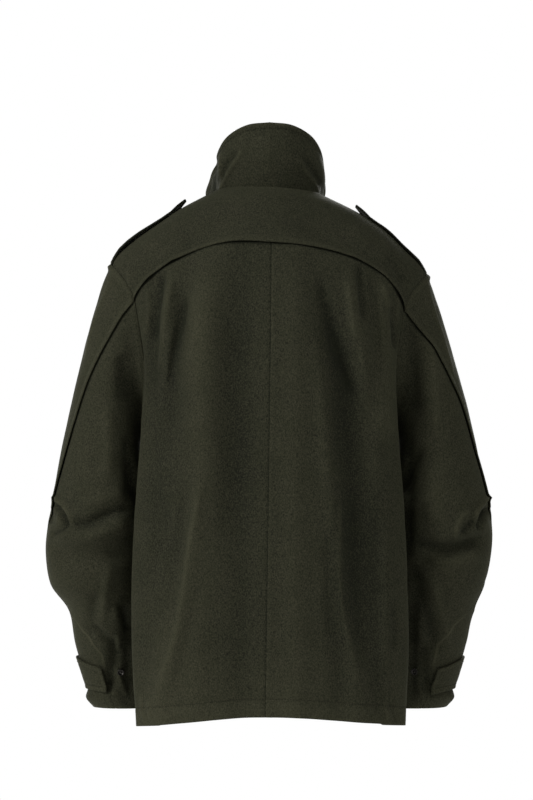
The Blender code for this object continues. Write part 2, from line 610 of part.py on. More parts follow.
def add_epaulette(side, word):
    across = np.linspace(-1, 1, EPAULETTE_COLUMNS + 1)
    sewn_end, short = EPAULETTE[0][0], EPAULETTE_SHORTER[side]
    chart = np.array([[shoulder_chart(mix(x, sewn_end, short), a * half_width) for a in across]
                      for x, half_width, *_ in EPAULETTE])
    lifts = np.array(EPAULETTE)[:, 2:, None]
    lift = mix(lifts[:, 0], lifts[:, 1], (across + 1) / 2)
    add_strap("epaulette_" + word, on_body(chart, side), lift, DOUBLED_CLOTH, OLIVE, body_axis)


# ---------------------------------------------------------------- cuff straps
# One row for each line across the strap, from the sleeve's front seam to its free end: the angles round
# the sleeve and the rings of its upper and lower edges.
#    upper_angle lower_angle upper lower lift
CUFF_TAB = [
    (-108, -108, 9.35, 10.95, 0.0006), (-92, -92, 9.35, 10.95, 0.0008), (-76, -76, 9.35, 10.95, 0.0010),
    (-60, -60, 9.35, 10.95, 0.0012), (-45, -45, 9.35, 10.95, 0.0014), (-30, -30, 9.35, 10.95, 0.0014),
    (-15, -15, 9.35, 10.95, 0.0014), (0, 0, 9.35, 10.95, 0.0014), (14, 15, 9.38, 10.98, 0.0014),
    (28, 31, 9.44, 11.05, 0.0015), (42, 46, 9.54, 11.16, 0.0017),
]
CUFF_TAB_END = {LEFT: [(56, 59, 9.64, 11.28, 0.0020), (68, 71, 9.74, 11.40, 0.0023)],
                RIGHT: [(56, 61, 9.66, 11.38, 0.0020), (70, 76, 9.77, 11.60, 0.0023)]}
TAB_ROWS = 4


def add_cuff_tab(side, word):
    table = np.array(CUFF_TAB + CUFF_TAB_END[side])
    across = np.linspace(0, 1, TAB_ROWS + 1)[:, None]
    angle = np.radians(mix(table[:, 0], table[:, 1], across))
    ring = mix(table[:, 2], table[:, 3], across)
    grid = sleeve_point(angle, angle, ring, side)
    lift = np.broadcast_to(table[:, 4], ring.shape)
    add_strap("cuff_tab_" + word, grid, lift, DOUBLED_CLOTH, OLIVE, sleeve_axis(side))


# ---------------------------------------------------------------- front flap
FLAP_EDGES = (-0.026, 0.034)  # x of its free edge, on the right, and of its sewn edge, on the left
FLAP_COLUMNS = 4
FLAP_TOP = 7.9  # the ring where it stops, just under the neck seam
FLAP_LIFT = 0.0008


def add_front_flap():
    levels = np.concatenate([np.linspace(HEM, ARMPIT, SIDE_ROWS + 1)[:-1],
                             np.linspace(ARMPIT, FLAP_TOP, ARMHOLE_ROWS + 1)])[:, None]
    x = np.linspace(*FLAP_EDGES, FLAP_COLUMNS + 1)[None, :]
    front_y = along_rows(RINGS, levels)[..., 6]
    turn = math.pi - np.arctan2(x, front_y)
    grid = outward(body_point(turn, levels), body_axis)
    lift = np.full(grid.shape[:2], FLAP_LIFT)
    add_strap("front_flap", grid, lift, CLOTH, OLIVE, body_axis)
    return grid + corner_normals(grid) * (FLAP_LIFT + CLOTH)


# ---------------------------------------------------------------- press studs
# Rows of radius and height. The first is the bare stud of the cuff, dished, and the second the flap's cap.
STUD_PROFILE = [
    (0.0, 0.0), (0.0042, 0.0), (0.0051, 0.0006), (0.0051, 0.0015), (0.0045, 0.0022), (0.0036, 0.0022),
    (0.0030, 0.0014), (0.0018, 0.0012), (0.0, 0.0013),
]
CAP_PROFILE = [
    (0.0, 0.0), (0.0062, 0.0), (0.0075, 0.0005), (0.0074, 0.0013), (0.0060, 0.0021), (0.0035, 0.0025),
    (0.0, 0.0026),
]
STUD_SEGMENTS = 20
CUFF_STUD_AT = {LEFT: (99, 9.95), RIGHT: (107, 9.95)}  # angle round the sleeve, ring
FLAP_STUD_LEVELS = [0.55, 1.45, 2.35, 3.5, 5.0, 6.7]


def add_stud(name, point, normal, profile):
    add_turned(name, point + normal * RESTING_GAP, normal, profile, STUD_SEGMENTS,
               material(name + "_metal", DARK_METAL, 0.35, 1.0))


def add_cuff_stud(side, word, grid):
    angle, ring = CUFF_STUD_AT[side]
    at = np.array([math.radians(angle)])
    wanted = sleeve_point(at, at, np.array([float(ring)]), side)[0]
    centres = (grid[1:, 1:] + grid[:-1, :-1] + grid[1:, :-1] + grid[:-1, 1:]) / 4
    row, column = np.unravel_index(np.argmin(np.linalg.norm(centres - wanted, axis=-1)), centres.shape[:2])
    point, normal = on_grid(grid, row + 0.5, column + 0.5)
    wanted = wanted - normal * ((wanted - point) @ normal)
    add_stud("cuff_stud_" + word, wanted, normal, STUD_PROFILE)


def add_flap_studs(flap):
    rows = np.arange(flap.shape[0])
    levels = np.concatenate([np.linspace(HEM, ARMPIT, SIDE_ROWS + 1)[:-1],
                             np.linspace(ARMPIT, FLAP_TOP, ARMHOLE_ROWS + 1)])
    for count, level in enumerate(FLAP_STUD_LEVELS, 1):
        row = min(np.interp(level, levels, rows), flap.shape[0] - 1.01)
        point, normal = on_grid(flap, row, FLAP_COLUMNS / 2)
        add_stud(f"flap_stud_{count}", point, normal, CAP_PROFILE)


def main():
    for obj in list(bpy.data.objects):
        bpy.data.objects.remove(obj)
    grids = add_panels()
    for side, word in ((LEFT, "left"), (RIGHT, "right")):
        add_epaulette(side, word)
        add_cuff_tab(side, word)
        add_cuff_stud(side, word, grids["sleeve_under_" + word])
    add_flap_studs(add_front_flap())


main()
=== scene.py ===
"""Short field parka in heavy brushed olive cloth, hollow and filled out, seen from behind.

Metres, +Z up. Its front faces -Y and its own left side is +X. The origin is the middle of the neck
opening, level with the collar seam at the nape. Each section below makes one piece or group of like
pieces on the form that its solid has, in finer steps, with its seams, creases and sewing.
"""

import math

import bpy
import numpy as np
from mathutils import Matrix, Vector, noise


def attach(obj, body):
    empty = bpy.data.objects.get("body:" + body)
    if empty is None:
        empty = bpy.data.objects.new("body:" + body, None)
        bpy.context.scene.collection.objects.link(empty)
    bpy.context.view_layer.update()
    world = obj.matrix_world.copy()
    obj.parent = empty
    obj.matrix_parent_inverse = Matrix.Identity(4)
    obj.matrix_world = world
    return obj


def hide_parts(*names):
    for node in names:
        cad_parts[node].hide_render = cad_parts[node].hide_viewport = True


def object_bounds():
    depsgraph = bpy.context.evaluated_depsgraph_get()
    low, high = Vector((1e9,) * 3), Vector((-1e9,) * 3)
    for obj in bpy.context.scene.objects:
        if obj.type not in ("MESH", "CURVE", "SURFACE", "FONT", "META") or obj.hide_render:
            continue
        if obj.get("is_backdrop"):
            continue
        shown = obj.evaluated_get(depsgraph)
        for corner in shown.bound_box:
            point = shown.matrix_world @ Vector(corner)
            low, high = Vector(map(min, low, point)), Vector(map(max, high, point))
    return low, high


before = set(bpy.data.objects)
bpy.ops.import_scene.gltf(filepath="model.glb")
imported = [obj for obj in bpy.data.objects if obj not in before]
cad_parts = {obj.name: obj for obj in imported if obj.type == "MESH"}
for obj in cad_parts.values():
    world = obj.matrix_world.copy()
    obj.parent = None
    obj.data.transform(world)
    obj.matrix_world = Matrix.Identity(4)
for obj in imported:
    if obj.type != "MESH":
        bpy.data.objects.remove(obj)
solid_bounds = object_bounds()

# ================================================================ the two back panels
# Two tall panels of heavy brushed cloth, joined by a plain seam down the centre back and hanging from the
# yoke in soft folds. The hem is turned up once, 25 mm deep, and held by one row of stitches. The form of the
# whole body, the cloth itself, its walls and its sewing are worked out here and serve the other pieces.
LEFT, RIGHT = 1, -1
SIDES = ((LEFT, "left"), (RIGHT, "right"))
CLOTH = 0.002
STEP = 0.0034  # between neighbouring points of the cloth
HEM_DEPTH = 0.025
HEM_SWELL = 0.0004  # how far the turned hem stands out


class Wire:
    """A socket of a material's nodes. Sums and products of wires add Math nodes; node() adds any other."""

    def __init__(self, tree, socket=None):
        self.tree, self.socket = tree, socket

    def node(self, kind, settings=(), inputs=(), output=0):
        made = self.tree.nodes.new(kind)
        for name, value in dict(settings).items():
            setattr(made, name, value)
        for name, value in dict(inputs).items():
            if isinstance(value, Wire):
                self.tree.links.new(value.socket, made.inputs[name])
            else:
                made.inputs[name].default_value = value
        return Wire(self.tree, made.outputs[output])

    def math(self, operation, a, b):
        return self.node("ShaderNodeMath", {"operation": operation}, {0: a, 1: b})

    def __add__(self, other):
        return self.math("ADD", self, other)

    def __sub__(self, other):
        return self.math("SUBTRACT", self, other)

    def __rsub__(self, other):
        return self.math("SUBTRACT", other, self)

    def __mul__(self, other):
        return self.math("MULTIPLY", self, other)

    __radd__ = __add__
    __rmul__ = __mul__

    def feed(self, shader, socket):
        self.tree.links.new(self.socket, shader.inputs[socket])

    def clamped(self):
        return self.node("ShaderNodeClamp", {}, {"Value": self})

    def mixed(self, low, high):
        """A colour from low to high as this wire goes from 0 to 1."""
        return self.node("ShaderNodeMix", {"data_type": "RGBA"}, {0: self, 6: low, 7: high}, 2)


def linear(*seen):
    """A colour as seen on a screen, from 0 to 255, as the light it stands for."""
    return (*[c / 255 / 12.92 if c < 11 else ((c / 255 + 0.055) / 1.055) ** 2.4 for c in seen], 1.0)


def finish(name, **constants):
    """A new material with its shader's constant values set: the material, its first wire and its shader."""
    made = bpy.data.materials.new(name)
    made.use_nodes = True
    shader = made.node_tree.nodes["Principled BSDF"]
    for socket, value in constants.items():
        shader.inputs[socket.replace("_", " ")].default_value = value
    return made, Wire(made.node_tree), shader


def brushed_cloth(name):
    """Dense wool-like cloth with a short brushed nap. Its nap lies down the cloth and is mottled in the fine
    and clouded in the large. A point attribute makes it paler where edges are worn and where a highlight is
    painted on edges, ridges and lapped seams, and darker where shade is painted in seams, grooves and
    troughs."""
    made, wire, shader = finish(name, Metallic=0.0, Sheen_Weight=0.07, Sheen_Roughness=0.4,
                                Sheen_Tint=linear(176, 180, 140), Specular_IOR_Level=0.12)
    place = wire.node("ShaderNodeTexCoord", output=3)
    down = wire.node("ShaderNodeMapping", {}, {"Vector": place, "Scale": (1.0, 1.0, 0.7)})

    def grain(scale, detail, at):
        return wire.node("ShaderNodeTexNoise", {}, {"Vector": at, "Scale": scale, "Detail": detail})

    fine = grain(640.0, 3.0, down)
    flecks = grain(230.0, 2.0, down)
    clouds = grain(13.0, 3.0, place)
    warmth = grain(40.0, 3.0, place)
    # the attribute read here holds wear together with painted highlight and painted shade
    wear_and_painted_light = wire.node("ShaderNodeAttribute", {"attribute_name": "wear_and_painted_light"}, output=2)
    level = fine * 2.05 + flecks * 0.15 + clouds * 0.22 - 0.81 + wear_and_painted_light * 0.5
    dark, pale = linear(19, 20, 14), linear(65, 64, 49)
    colour = level.clamped().mixed(dark, pale)
    colour = ((warmth - 0.5) * 0.5 + 0.25).clamped().mixed(colour, linear(36, 39, 24))
    colour.feed(shader, "Base Color")
    (0.98 - fine * 0.14).feed(shader, "Roughness")
    height = grain(900.0, 3.0, down) * 0.7 + flecks * 0.25
    bump = wire.node("ShaderNodeBump", {}, {"Strength": 0.5, "Distance": 0.0006, "Height": height})
    bump.feed(shader, "Normal")
    return made


OLIVE_CLOTH = brushed_cloth("olive_brushed_cloth")

OLIVE_THREAD, thread_wire, thread_shader = finish("olive_thread", Roughness=0.9, Specular_IOR_Level=0.1)
twist = thread_wire.node("ShaderNodeTexNoise", {}, {"Scale": 900.0, "Detail": 1.0})
twist.mixed(linear(22, 22, 16), linear(44, 43, 32)).feed(thread_shader, "Base Color")


def smooth(t):
    """0 below 0, 1 above 1, and an S between them."""
    t = np.clip(t, 0.0, 1.0)
    return t * t * (3 - 2 * t)


def mix(a, b, t):
    return a + (b - a) * t


def bell(distance):
    """1 in the middle, a third at a distance of 1, and nothing from about 2."""
    return np.exp(-(distance**2))


def faded(share, over):
    """1 along a fold, dying away over this share of its length at each end."""
    return smooth(share / over) * smooth((1 - share) / over)


def along_rows(table, at):
    """A smooth curve through the rows of a table, read at a row number that may be a fraction."""
    rows = np.asarray(table, float)
    rows = np.vstack([2 * rows[0] - rows[1], rows, 2 * rows[-1] - rows[-2]])
    last = len(table) - 2
    i = np.clip(np.floor(at).astype(int), 0, last)
    t = (at - i)[..., None]
    p0, p1, p2, p3 = (rows[i + k] for k in range(4))
    return 0.5 * (2 * p1 + (p2 - p0) * t + (2 * p0 - 5 * p1 + 4 * p2 - p3) * t**2
                  + (3 * p1 - p0 - 3 * p2 + p3) * t**3)


def read(table, at):
    """A table of two columns, read between its rows."""
    columns = np.asarray(table, float)
    return np.interp(at, columns[:, 0], columns[:, 1])


# One row for each ring of the body, from the hem to the neck seam: its heights at the side, back and front,
# its half width at the side fold and under the armhole, its depths, and how square it is.
#    side_z  back_z front_z half_back half_side back_y front_y square
RINGS = [
    (-0.774, -0.750, -0.762, 0.2075, 0.158, 0.150, 0.146, 2.8),  # hem
    (-0.634, -0.624, -0.634, 0.2165, 0.158, 0.157, 0.145, 2.8),  # seat
    (-0.494, -0.489, -0.494, 0.215, 0.156, 0.154, 0.142, 2.7),  # waist
    (-0.359, -0.354, -0.359, 0.202, 0.156, 0.154, 0.142, 2.7),  # armpit
    (-0.256, -0.209, -0.254, 0.196, 0.175, 0.150, 0.136, 2.6),  # middle of the armhole
    (-0.172, -0.083, -0.174, 0.2155, 0.2095, 0.130, 0.118, 2.4),  # yoke seam
    (-0.107, -0.042, -0.129, 0.230, 0.230, 0.108, 0.100, 2.2),  # shoulder point
    (-0.039, -0.014, -0.099, 0.150, 0.150, 0.088, 0.086, 2.1),  # middle of the shoulder
    (0.003, 0.000, -0.074, 0.0735, 0.0735, 0.068, 0.076, 2.0),  # neck seam
]
HEM, ARMPIT, YOKE_SEAM, SHOULDER, NECK = 0, 3, 5, 6, 8
SIDE_FOLD_FROM, SIDE_FOLD_TO = math.radians(62), math.radians(84)
RIGHT_DROP, RIGHT_TIP_DROP, RIGHT_INWARDS = 0.0062, 0.0085, 0.001
HEM_RISE = {LEFT: 0.016, RIGHT: 0.022}  # how far the hem lifts for each metre out from the middle
HEM_FLARE = 0.005  # how much further out the hem stands on the right

MM = 0.001
# Soft folds of the back and fronts, in millimetres: three points down each fold, as x and z, then its half
# width and its height, which is below zero for a trough.
#    x_top z_top x_mid z_mid x_low z_low half_width height
BACK_FOLDS = [
    (160, -104, 165, -184, 172, -324, 11, -6),
    (140, -94, 143, -194, 146, -324, 13, 5),
    (118, -104, 130, -244, 146, -414, 16, -9),
    (95, -104, 98, -224, 104, -414, 20, 5),
    (100, -374, 113, -554, 158, -754, 11, 7),
    (54, -124, 49, -254, 54, -554, 26, -7),
    (140, -354, 155, -554, 172, -784, 16, -6),
    (-70, -104, -112, -324, -120, -734, 24, -11),
    (-112, -104, -128, -194, -140, -324, 12, 6),
    (-150, -104, -150, -184, -152, -294, 10, -6),
    (-60, -144, -86, -394, -126, -784, 14, 5),
    (-150, -334, -160, -554, -160, -784, 16, 5),
]
FRONT_FOLDS = [
    (85, -194, 100, -414, 125, -754, 20, -8),
    (60, -294, 66, -534, 80, -784, 20, 5),
    (118, -294, 130, -494, 138, -754, 15, 6),
    (-90, -214, -102, -444, -116, -774, 22, -8),
    (-60, -254, -70, -514, -92, -784, 20, 5),
    (-126, -324, -130, -534, -142, -774, 14, 6),
]
FOLD_FADE = 0.28  # the share of a fold's length over which it dies away at each end


def fold_height(x, z, folds):
    """The height that the folds add at x and z, seen square on."""
    total = np.zeros(np.broadcast(x, z).shape)
    for x_top, z_top, x_mid, z_mid, x_low, z_low, half_width, height in np.array(folds) * MM:
        down = (z_top - z) / (z_top - z_low)
        middle = (z_top - z_mid) / (z_top - z_low)
        bow = (x_mid - mix(x_top, x_low, middle)) / (middle * (1 - middle))
        centre = mix(x_top, x_low, down) + bow * down * (1 - down)
        total = total + height * faded(down, FOLD_FADE) * bell((x - centre) / half_width)
    return total


def settled(points):
    """The right shoulder a little lower and further in than the left, dying away below the armhole."""
    x, z = points[..., 0], points[..., 2]
    share = smooth((z + 0.50) / 0.28)
    drop = RIGHT_DROP * smooth(-x / 0.08) + RIGHT_TIP_DROP * smooth((-x - 0.16) / 0.045)
    inwards = RIGHT_INWARDS * smooth((-x - 0.10) / 0.10)
    return points + np.stack([inwards * share, np.zeros(x.shape), -drop * share], axis=-1)


def body_point(turn, level):
    """A point of the draped body: turn is the angle from the centre back towards +X, and level a ring."""
    turn, level = np.broadcast_arrays(np.asarray(turn, float), np.asarray(level, float))
    side_z, back_z, front_z, half_back, half_side, back_y, front_y, square = np.moveaxis(
        along_rows(RINGS, level), -1, 0)
    across, along = np.sin(turn), np.cos(turn)
    pressed = smooth((np.abs(turn) - SIDE_FOLD_FROM) / (SIDE_FOLD_TO - SIDE_FOLD_FROM))
    half = mix(half_back, half_side, pressed)
    depth = np.where(along > 0, back_y, front_y)
    reach = (np.abs(across / half) ** square + np.abs(along / depth) ** square) ** (-1 / square)
    z = mix(side_z, np.where(along > 0, back_z, front_z), along**2)
    x, y = reach * across, reach * along
    z = z + np.where(x > 0, HEM_RISE[LEFT], HEM_RISE[RIGHT]) * np.abs(x) * smooth(-z / 0.7)
    x = x - HEM_FLARE * smooth((-z - 0.55) / 0.2) * smooth((-x - 0.10) / 0.08)
    facing = smooth((np.abs(along) - 0.15) / 0.3)
    height = np.where(along > 0, fold_height(x, z, BACK_FOLDS), fold_height(x, z, FRONT_FOLDS))
    y = y + np.sign(along) * height * facing
    return settled(np.stack([x, y, z], axis=-1))


ARMHOLE_HALF_TURN = math.radians(20)
ARMHOLE_MIDDLE = (SHOULDER + ARMPIT) / 2
ARMHOLE_HALF_RISE = (SHOULDER - ARMPIT) / 2
BACK_NOTCH = math.acos((YOKE_SEAM - ARMHOLE_MIDDLE) / ARMHOLE_HALF_RISE)  # where the yoke seam meets it
FRONT_NOTCH = math.radians(48)
SIDE_SEAM = math.pi / 2
YOKE_BOW = {LEFT: 0.54, RIGHT: 0.61}  # how far, in rings, the yoke seam arches above a level line
CENTRE_BACK_LEAN = [(HEM, 1.9), (YOKE_SEAM, -1.6)]  # ring, degrees towards the left


def armhole(round_it):
    """Turn and level on the body, 0 at the shoulder point, a quarter turn at the back, half at the armpit."""
    turn = math.pi / 2 - ARMHOLE_HALF_TURN * np.sin(round_it)
    return np.stack([turn, ARMHOLE_MIDDLE + ARMHOLE_HALF_RISE * np.cos(round_it)], axis=-1)


def on_body(chart, side):
    """Chart points, a turn and a level each, as points of the body on one side."""
    return body_point(side * chart[..., 0], chart[..., 1])


def shares(length, close=(0.0012, 0.0026), more=(), step=STEP):
    """Shares of a length about one step apart, closer by both ends and at the further distances given."""
    even = np.linspace(0, 1, max(2, round(length / step)) + 1)
    extra = [d / length for d in close] + [1 - d / length for d in close] + [d / length for d in more]
    even = [s for s in even if min(abs(s - e) for e in extra) > 0.3 * step / length or s in (0.0, 1.0)]
    return np.array(sorted(even + extra))


def coons(s, t, bottom, top, left, right):
    """Fills between four edges, each a function of its share, for the shares s across and t up."""
    b, u, l, r = bottom(s)[None], top(s)[None], left(t)[:, None], right(t)[:, None]
    s, t = s[None, :, None], t[:, None, None]
    corners = ((1 - s) * (1 - t) * b[:, :1] + s * (1 - t) * b[:, -1:] + (1 - s) * t * u[:, :1]
               + s * t * u[:, -1:])
    return (1 - t) * b + t * u + (1 - s) * l + s * r - corners


def between(start, end):
    """The straight line between two chart points, as a function of the share."""
    start, end = np.asarray(start, float), np.asarray(end, float)
    return lambda share: start + (end - start) * share[:, None]


def yoke_seam(side):
    straight = between((side * math.radians(read(CENTRE_BACK_LEAN, YOKE_SEAM)), YOKE_SEAM),
                       armhole(BACK_NOTCH))

    def seam(share):
        line = straight(share)
        line[:, 1] += YOKE_BOW[side] * np.sin(math.pi * share**1.9)
        return line
    return seam


def cell_normals(grid):
    return np.cross(grid[1:, 1:] - grid[:-1, :-1], grid[1:, :-1] - grid[:-1, 1:])


def normals_of(grid, core):
    """Unit normals at a grid's points, pointing away from core, a point or points of the same shape."""
    cells = cell_normals(grid)
    total = np.zeros(grid.shape)
    for r in (slice(0, -1), slice(1, None)):
        for c in (slice(0, -1), slice(1, None)):
            total[r, c] += cells
    total /= np.maximum(np.linalg.norm(total, axis=-1, keepdims=True), 1e-12)
    return total if (total * (grid - core)).sum() > 0 else -total


def body_normals(grid):
    """They point away from the middle of the body, sunk a little so that shoulders face up."""
    return normals_of(grid, grid * (0, 0, 1) - (0, 0, 0.05))


def edge_distances(grid):
    """How far each point lies, along the cloth, from the first and last row and the first and last column."""
    rows = np.linalg.norm(np.diff(grid, axis=0, prepend=grid[:1]), axis=-1).cumsum(axis=0)
    columns = np.linalg.norm(np.diff(grid, axis=1, prepend=grid[:, :1]), axis=-1).cumsum(axis=1)
    return rows, rows[-1:] - rows, columns, columns[:, -1:] - columns


def unevenness(grid):
    """Heavy cloth is never quite smooth: a slow unevenness of about a millimetre and a finer one. It is one
    field in space, so that panels agree where they meet."""
    flat = grid.reshape(-1, 3)
    slow = np.array([noise.noise(Vector(p) * 9.0) for p in flat])
    fine = np.array([noise.noise(Vector(p) * 34.0 + Vector((0, 7, 0))) for p in flat])
    return (0.0014 * slow + 0.0004 * fine).reshape(grid.shape[:2])


CREASE_PAINTED_LIGHT = 0.36  # how much paler a ridge is painted, as wear and painted highlight, and a trough darker, as painted shade, where a crease is as high as its half width
SHADED = 36.0  # and how much more painted highlight or painted shade for each metre of its height


def crease_height(grid, creases):
    """The height that creases add, with their painted highlight on ridges and painted shade in troughs,
    stronger the sharper they are. Each is a smooth line through places seen square on, and is a trough where
    its height is below zero."""
    place = grid[..., [0, 2]]
    total = np.zeros((2, *place.shape[:-1]))
    for crease in creases:
        half_width, height, *places = np.array(crease) * MM
        places = np.reshape(places, (-1, 2))
        line = along_rows(places, np.linspace(0, len(places) - 1, 4 * len(places)))
        lengths = np.linalg.norm(np.diff(line, axis=0), axis=-1)
        starts = np.concatenate([[0], lengths.cumsum()])
        nearest, share = np.full(place.shape[:-1], np.inf), np.zeros(place.shape[:-1])
        for k, (a, b) in enumerate(zip(line, line[1:])):
            t = np.clip(((place - a) @ (b - a)) / lengths[k] ** 2, 0, 1)
            away = np.linalg.norm(place - a - t[..., None] * (b - a), axis=-1)
            share = np.where(away < nearest, (starts[k] + t * lengths[k]) / starts[-1], share)
            nearest = np.minimum(away, nearest)
        shape = bell(nearest / half_width) * faded(share, 0.2)
        total += np.multiply.outer([height, height * (CREASE_PAINTED_LIGHT / half_width + SHADED)], shape)
    return total


FACING = 0.06  # how far towards the back or the front the cloth faces where its creases show in full


def creased(grid, normals, behind, before=()):
    """Creases, with their painted highlight and shade, of the side that faces back and of the side that faces
    front.
    """
    facing = normals[..., 1] / FACING
    return crease_height(grid, behind) * smooth(facing) + crease_height(grid, before) * smooth(-facing)


def moved_edges(grid, distances):
    """The grid with edges moved outwards along the cloth: 0 first row, 1 last row, 2 first and 3 last column.
    The distance for each edge is one number or one for each point of the edge."""
    grid = grid.copy()
    for edge, distance in distances.items():
        line, beside = [(0, 1), (-1, -2)][edge % 2]
        at, near = (line, beside) if edge < 2 else ((slice(None), line), (slice(None), beside))
        step = grid[at] - grid[near]
        step /= np.linalg.norm(step, axis=-1, keepdims=True)
        grid[at] += step * np.broadcast_to(distance, len(step))[:, None]
    return grid


def add_object(name, data):
    made = bpy.data.objects.new(name, data)
    bpy.context.scene.collection.objects.link(made)
    return made


def add_mesh(name, points, faces, made_of, wear_and_painted_light=None):
    mesh = bpy.data.meshes.new(name)
    mesh.from_pydata(np.asarray(points, float).tolist(), [], faces)
    mesh.shade_smooth()
    mesh.materials.append(made_of)
    # the attribute holds where the cloth is worn paler, together with painted highlight and painted shade
    if wear_and_painted_light is not None:
        mesh.attributes.new("wear_and_painted_light", "FLOAT", "POINT").data.foreach_set("value", wear_and_painted_light.astype(np.float32).ravel())
    return add_object(name, mesh)


def add_wall(name, outer, normals, thickness, wear_and_painted_light):
    """Cloth with its outer face on a grid: a closed wall whose edges are rounded over outwards."""
    rows, columns = outer.shape[:2]
    inner = outer - normals * thickness
    points, values = [outer.reshape(-1, 3), inner.reshape(-1, 3)], [wear_and_painted_light.ravel(), wear_and_painted_light.ravel() * 0]
    index = np.arange(rows * columns).reshape(rows, columns)
    quads = np.stack([index[:-1, :-1], index[:-1, 1:], index[1:, 1:], index[1:, :-1]], axis=-1).reshape(-1, 4)
    flip = (cell_normals(outer) * (normals[:-1, :-1])).sum() < 0
    outside, inside = (quads[:, ::-1], quads) if flip else (quads, quads[:, ::-1])
    faces = outside.tolist() + (inside + rows * columns).tolist()
    rim = np.concatenate([index[0, :-1], index[:-1, -1], index[-1, :0:-1], index[:0:-1, 0]])
    flat = outer.reshape(-1, 3)
    beside = np.concatenate([index[1, :-1], index[:-1, -2], index[-2, :0:-1], index[:0:-1, 1]])
    corner = np.isin(rim, index[[0, 0, -1, -1], [0, -1, 0, -1]])
    away = flat[rim] - flat[beside]
    for k in np.flatnonzero(corner):
        away[k] = away[k] / np.linalg.norm(away[k]) + away[k - 1] / np.linalg.norm(away[k - 1])
    away /= np.linalg.norm(away, axis=-1, keepdims=True)
    middle = (flat[rim] + inner.reshape(-1, 3)[rim]) / 2
    half = (flat[rim] - inner.reshape(-1, 3)[rim]) / 2
    rounds = [index.ravel()[rim]]
    start = 2 * rows * columns
    for angle in (45, 90, 135):
        swing = math.radians(angle)
        points.append(middle + half * math.cos(swing) + away * thickness / 2 * math.sin(swing))
        values.append(wear_and_painted_light.ravel()[rim])
        rounds.append(np.arange(start, start + len(rim)))
        start += len(rim)
    rounds.append(rim + rows * columns)
    for low, high in zip(rounds, rounds[1:]):
        band = np.stack([low, high, np.roll(high, -1), np.roll(low, -1)], axis=-1)
        faces += (band[:, ::-1] if flip else band).tolist()
    return add_mesh(name, np.concatenate(points), faces, OLIVE_CLOTH, np.concatenate(values))


def read_points(at, along, points):
    """Points of a line at the lengths wanted, from its points and their lengths along it."""
    return np.stack([np.interp(at, along, points[:, k]) for k in range(3)], axis=-1)


def line_at(grid, normals, distances, wanted):
    """A line across a grid where its distances from an edge, which grow along the rows, are as wanted."""
    order = np.argsort(distances, axis=0)
    columns = [(order[:, k], k) for k in range(grid.shape[1])]
    return [np.array([read_points(wanted, distances[at], values[at]) for at in columns])
            for values in (grid, normals)]


STITCH, STITCH_GAP, THREAD = 0.0032, 0.0008, 0.0003  # length, space to the next, half thickness
STITCH_SIDES = 6
# Along a stitch: share of its length, then its height above the cloth and its size as shares of the thread's.
STITCH_SHAPE = np.array([(0.1, -0.6, 0.5), (0.3, 0.55, 1.0), (0.7, 0.55, 1.0), (0.9, -0.6, 0.5)])


def add_stitches(name, lines):
    """One piece of sewing: rows of flat grains, their ends sunk into the cloth. Each row follows a line and
    the way the cloth faces there."""
    points, faces = [], []
    around = np.arange(STITCH_SIDES)
    swings = 2 * math.pi * around / STITCH_SIDES
    for line, facing in lines:
        along = np.concatenate([[0], np.linalg.norm(np.diff(line, axis=0), axis=-1).cumsum()])
        count = int(along[-1] // (STITCH + STITCH_GAP))
        for k in range(count):
            at = STITCH_SHAPE[:, 0] * STITCH + k * along[-1] / count
            centre, normal = read_points(at, along, line), read_points(at, along, facing)
            normal /= np.linalg.norm(normal, axis=-1, keepdims=True)
            ahead = centre[-1] - centre[0]
            across = np.cross(normal, ahead / np.linalg.norm(ahead))
            centre += normal * STITCH_SHAPE[:, 1:2] * THREAD
            first = len(points)
            for c, n, a, size in zip(centre, normal, across, STITCH_SHAPE[:, 2]):
                points += [c + THREAD * size * (1.2 * a * math.cos(w) + n * math.sin(w)) for w in swings]
            for ring in range(first, first + 3 * STITCH_SIDES, STITCH_SIDES):
                low, after = ring + around, ring + (around + 1) % STITCH_SIDES
                faces += np.stack([low, after, after + STITCH_SIDES, low + STITCH_SIDES], axis=-1).tolist()
            faces += [(first + around[::-1]).tolist(), (first + 3 * STITCH_SIDES + around).tolist()]
    piece = add_mesh(name, points, faces, OLIVE_THREAD)
    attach(piece, "root")
    return piece


def stand_in(piece, node):
    """The piece stands for its solid, which is hidden."""
    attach(piece, "root")
    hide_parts(node)


def add_panel(name, node, outer, normals, wear_and_painted_light, thickness=CLOTH):
    """A panel of cloth in place of its solid."""
    piece = add_wall(name, outer, normals, thickness, wear_and_painted_light)
    stand_in(piece, node)


SEAM_ROUND = 0.0004  # how far a panel's rounded edge stops short of a seam
UNDER_LAP, UNDER_DEPTH = 0.004, 0.0015  # how far and how deep its neighbour runs on beneath it
UNDER_FADE = 0.0045  # over what distance that neighbour drops
GROOVE, GROOVE_SHADE = 0.0022, -1.1  # half width of a groove, and how dark the painted shade in it is
SEWN_IN = 0.0004  # how deep the cloth is drawn in along a row of stitches
HEM_PAINTED_LIGHT, LOWER_PAINTED_LIGHT = 0.2, 0.3  # how much paler the back is painted on its hem and just above it, as painted light
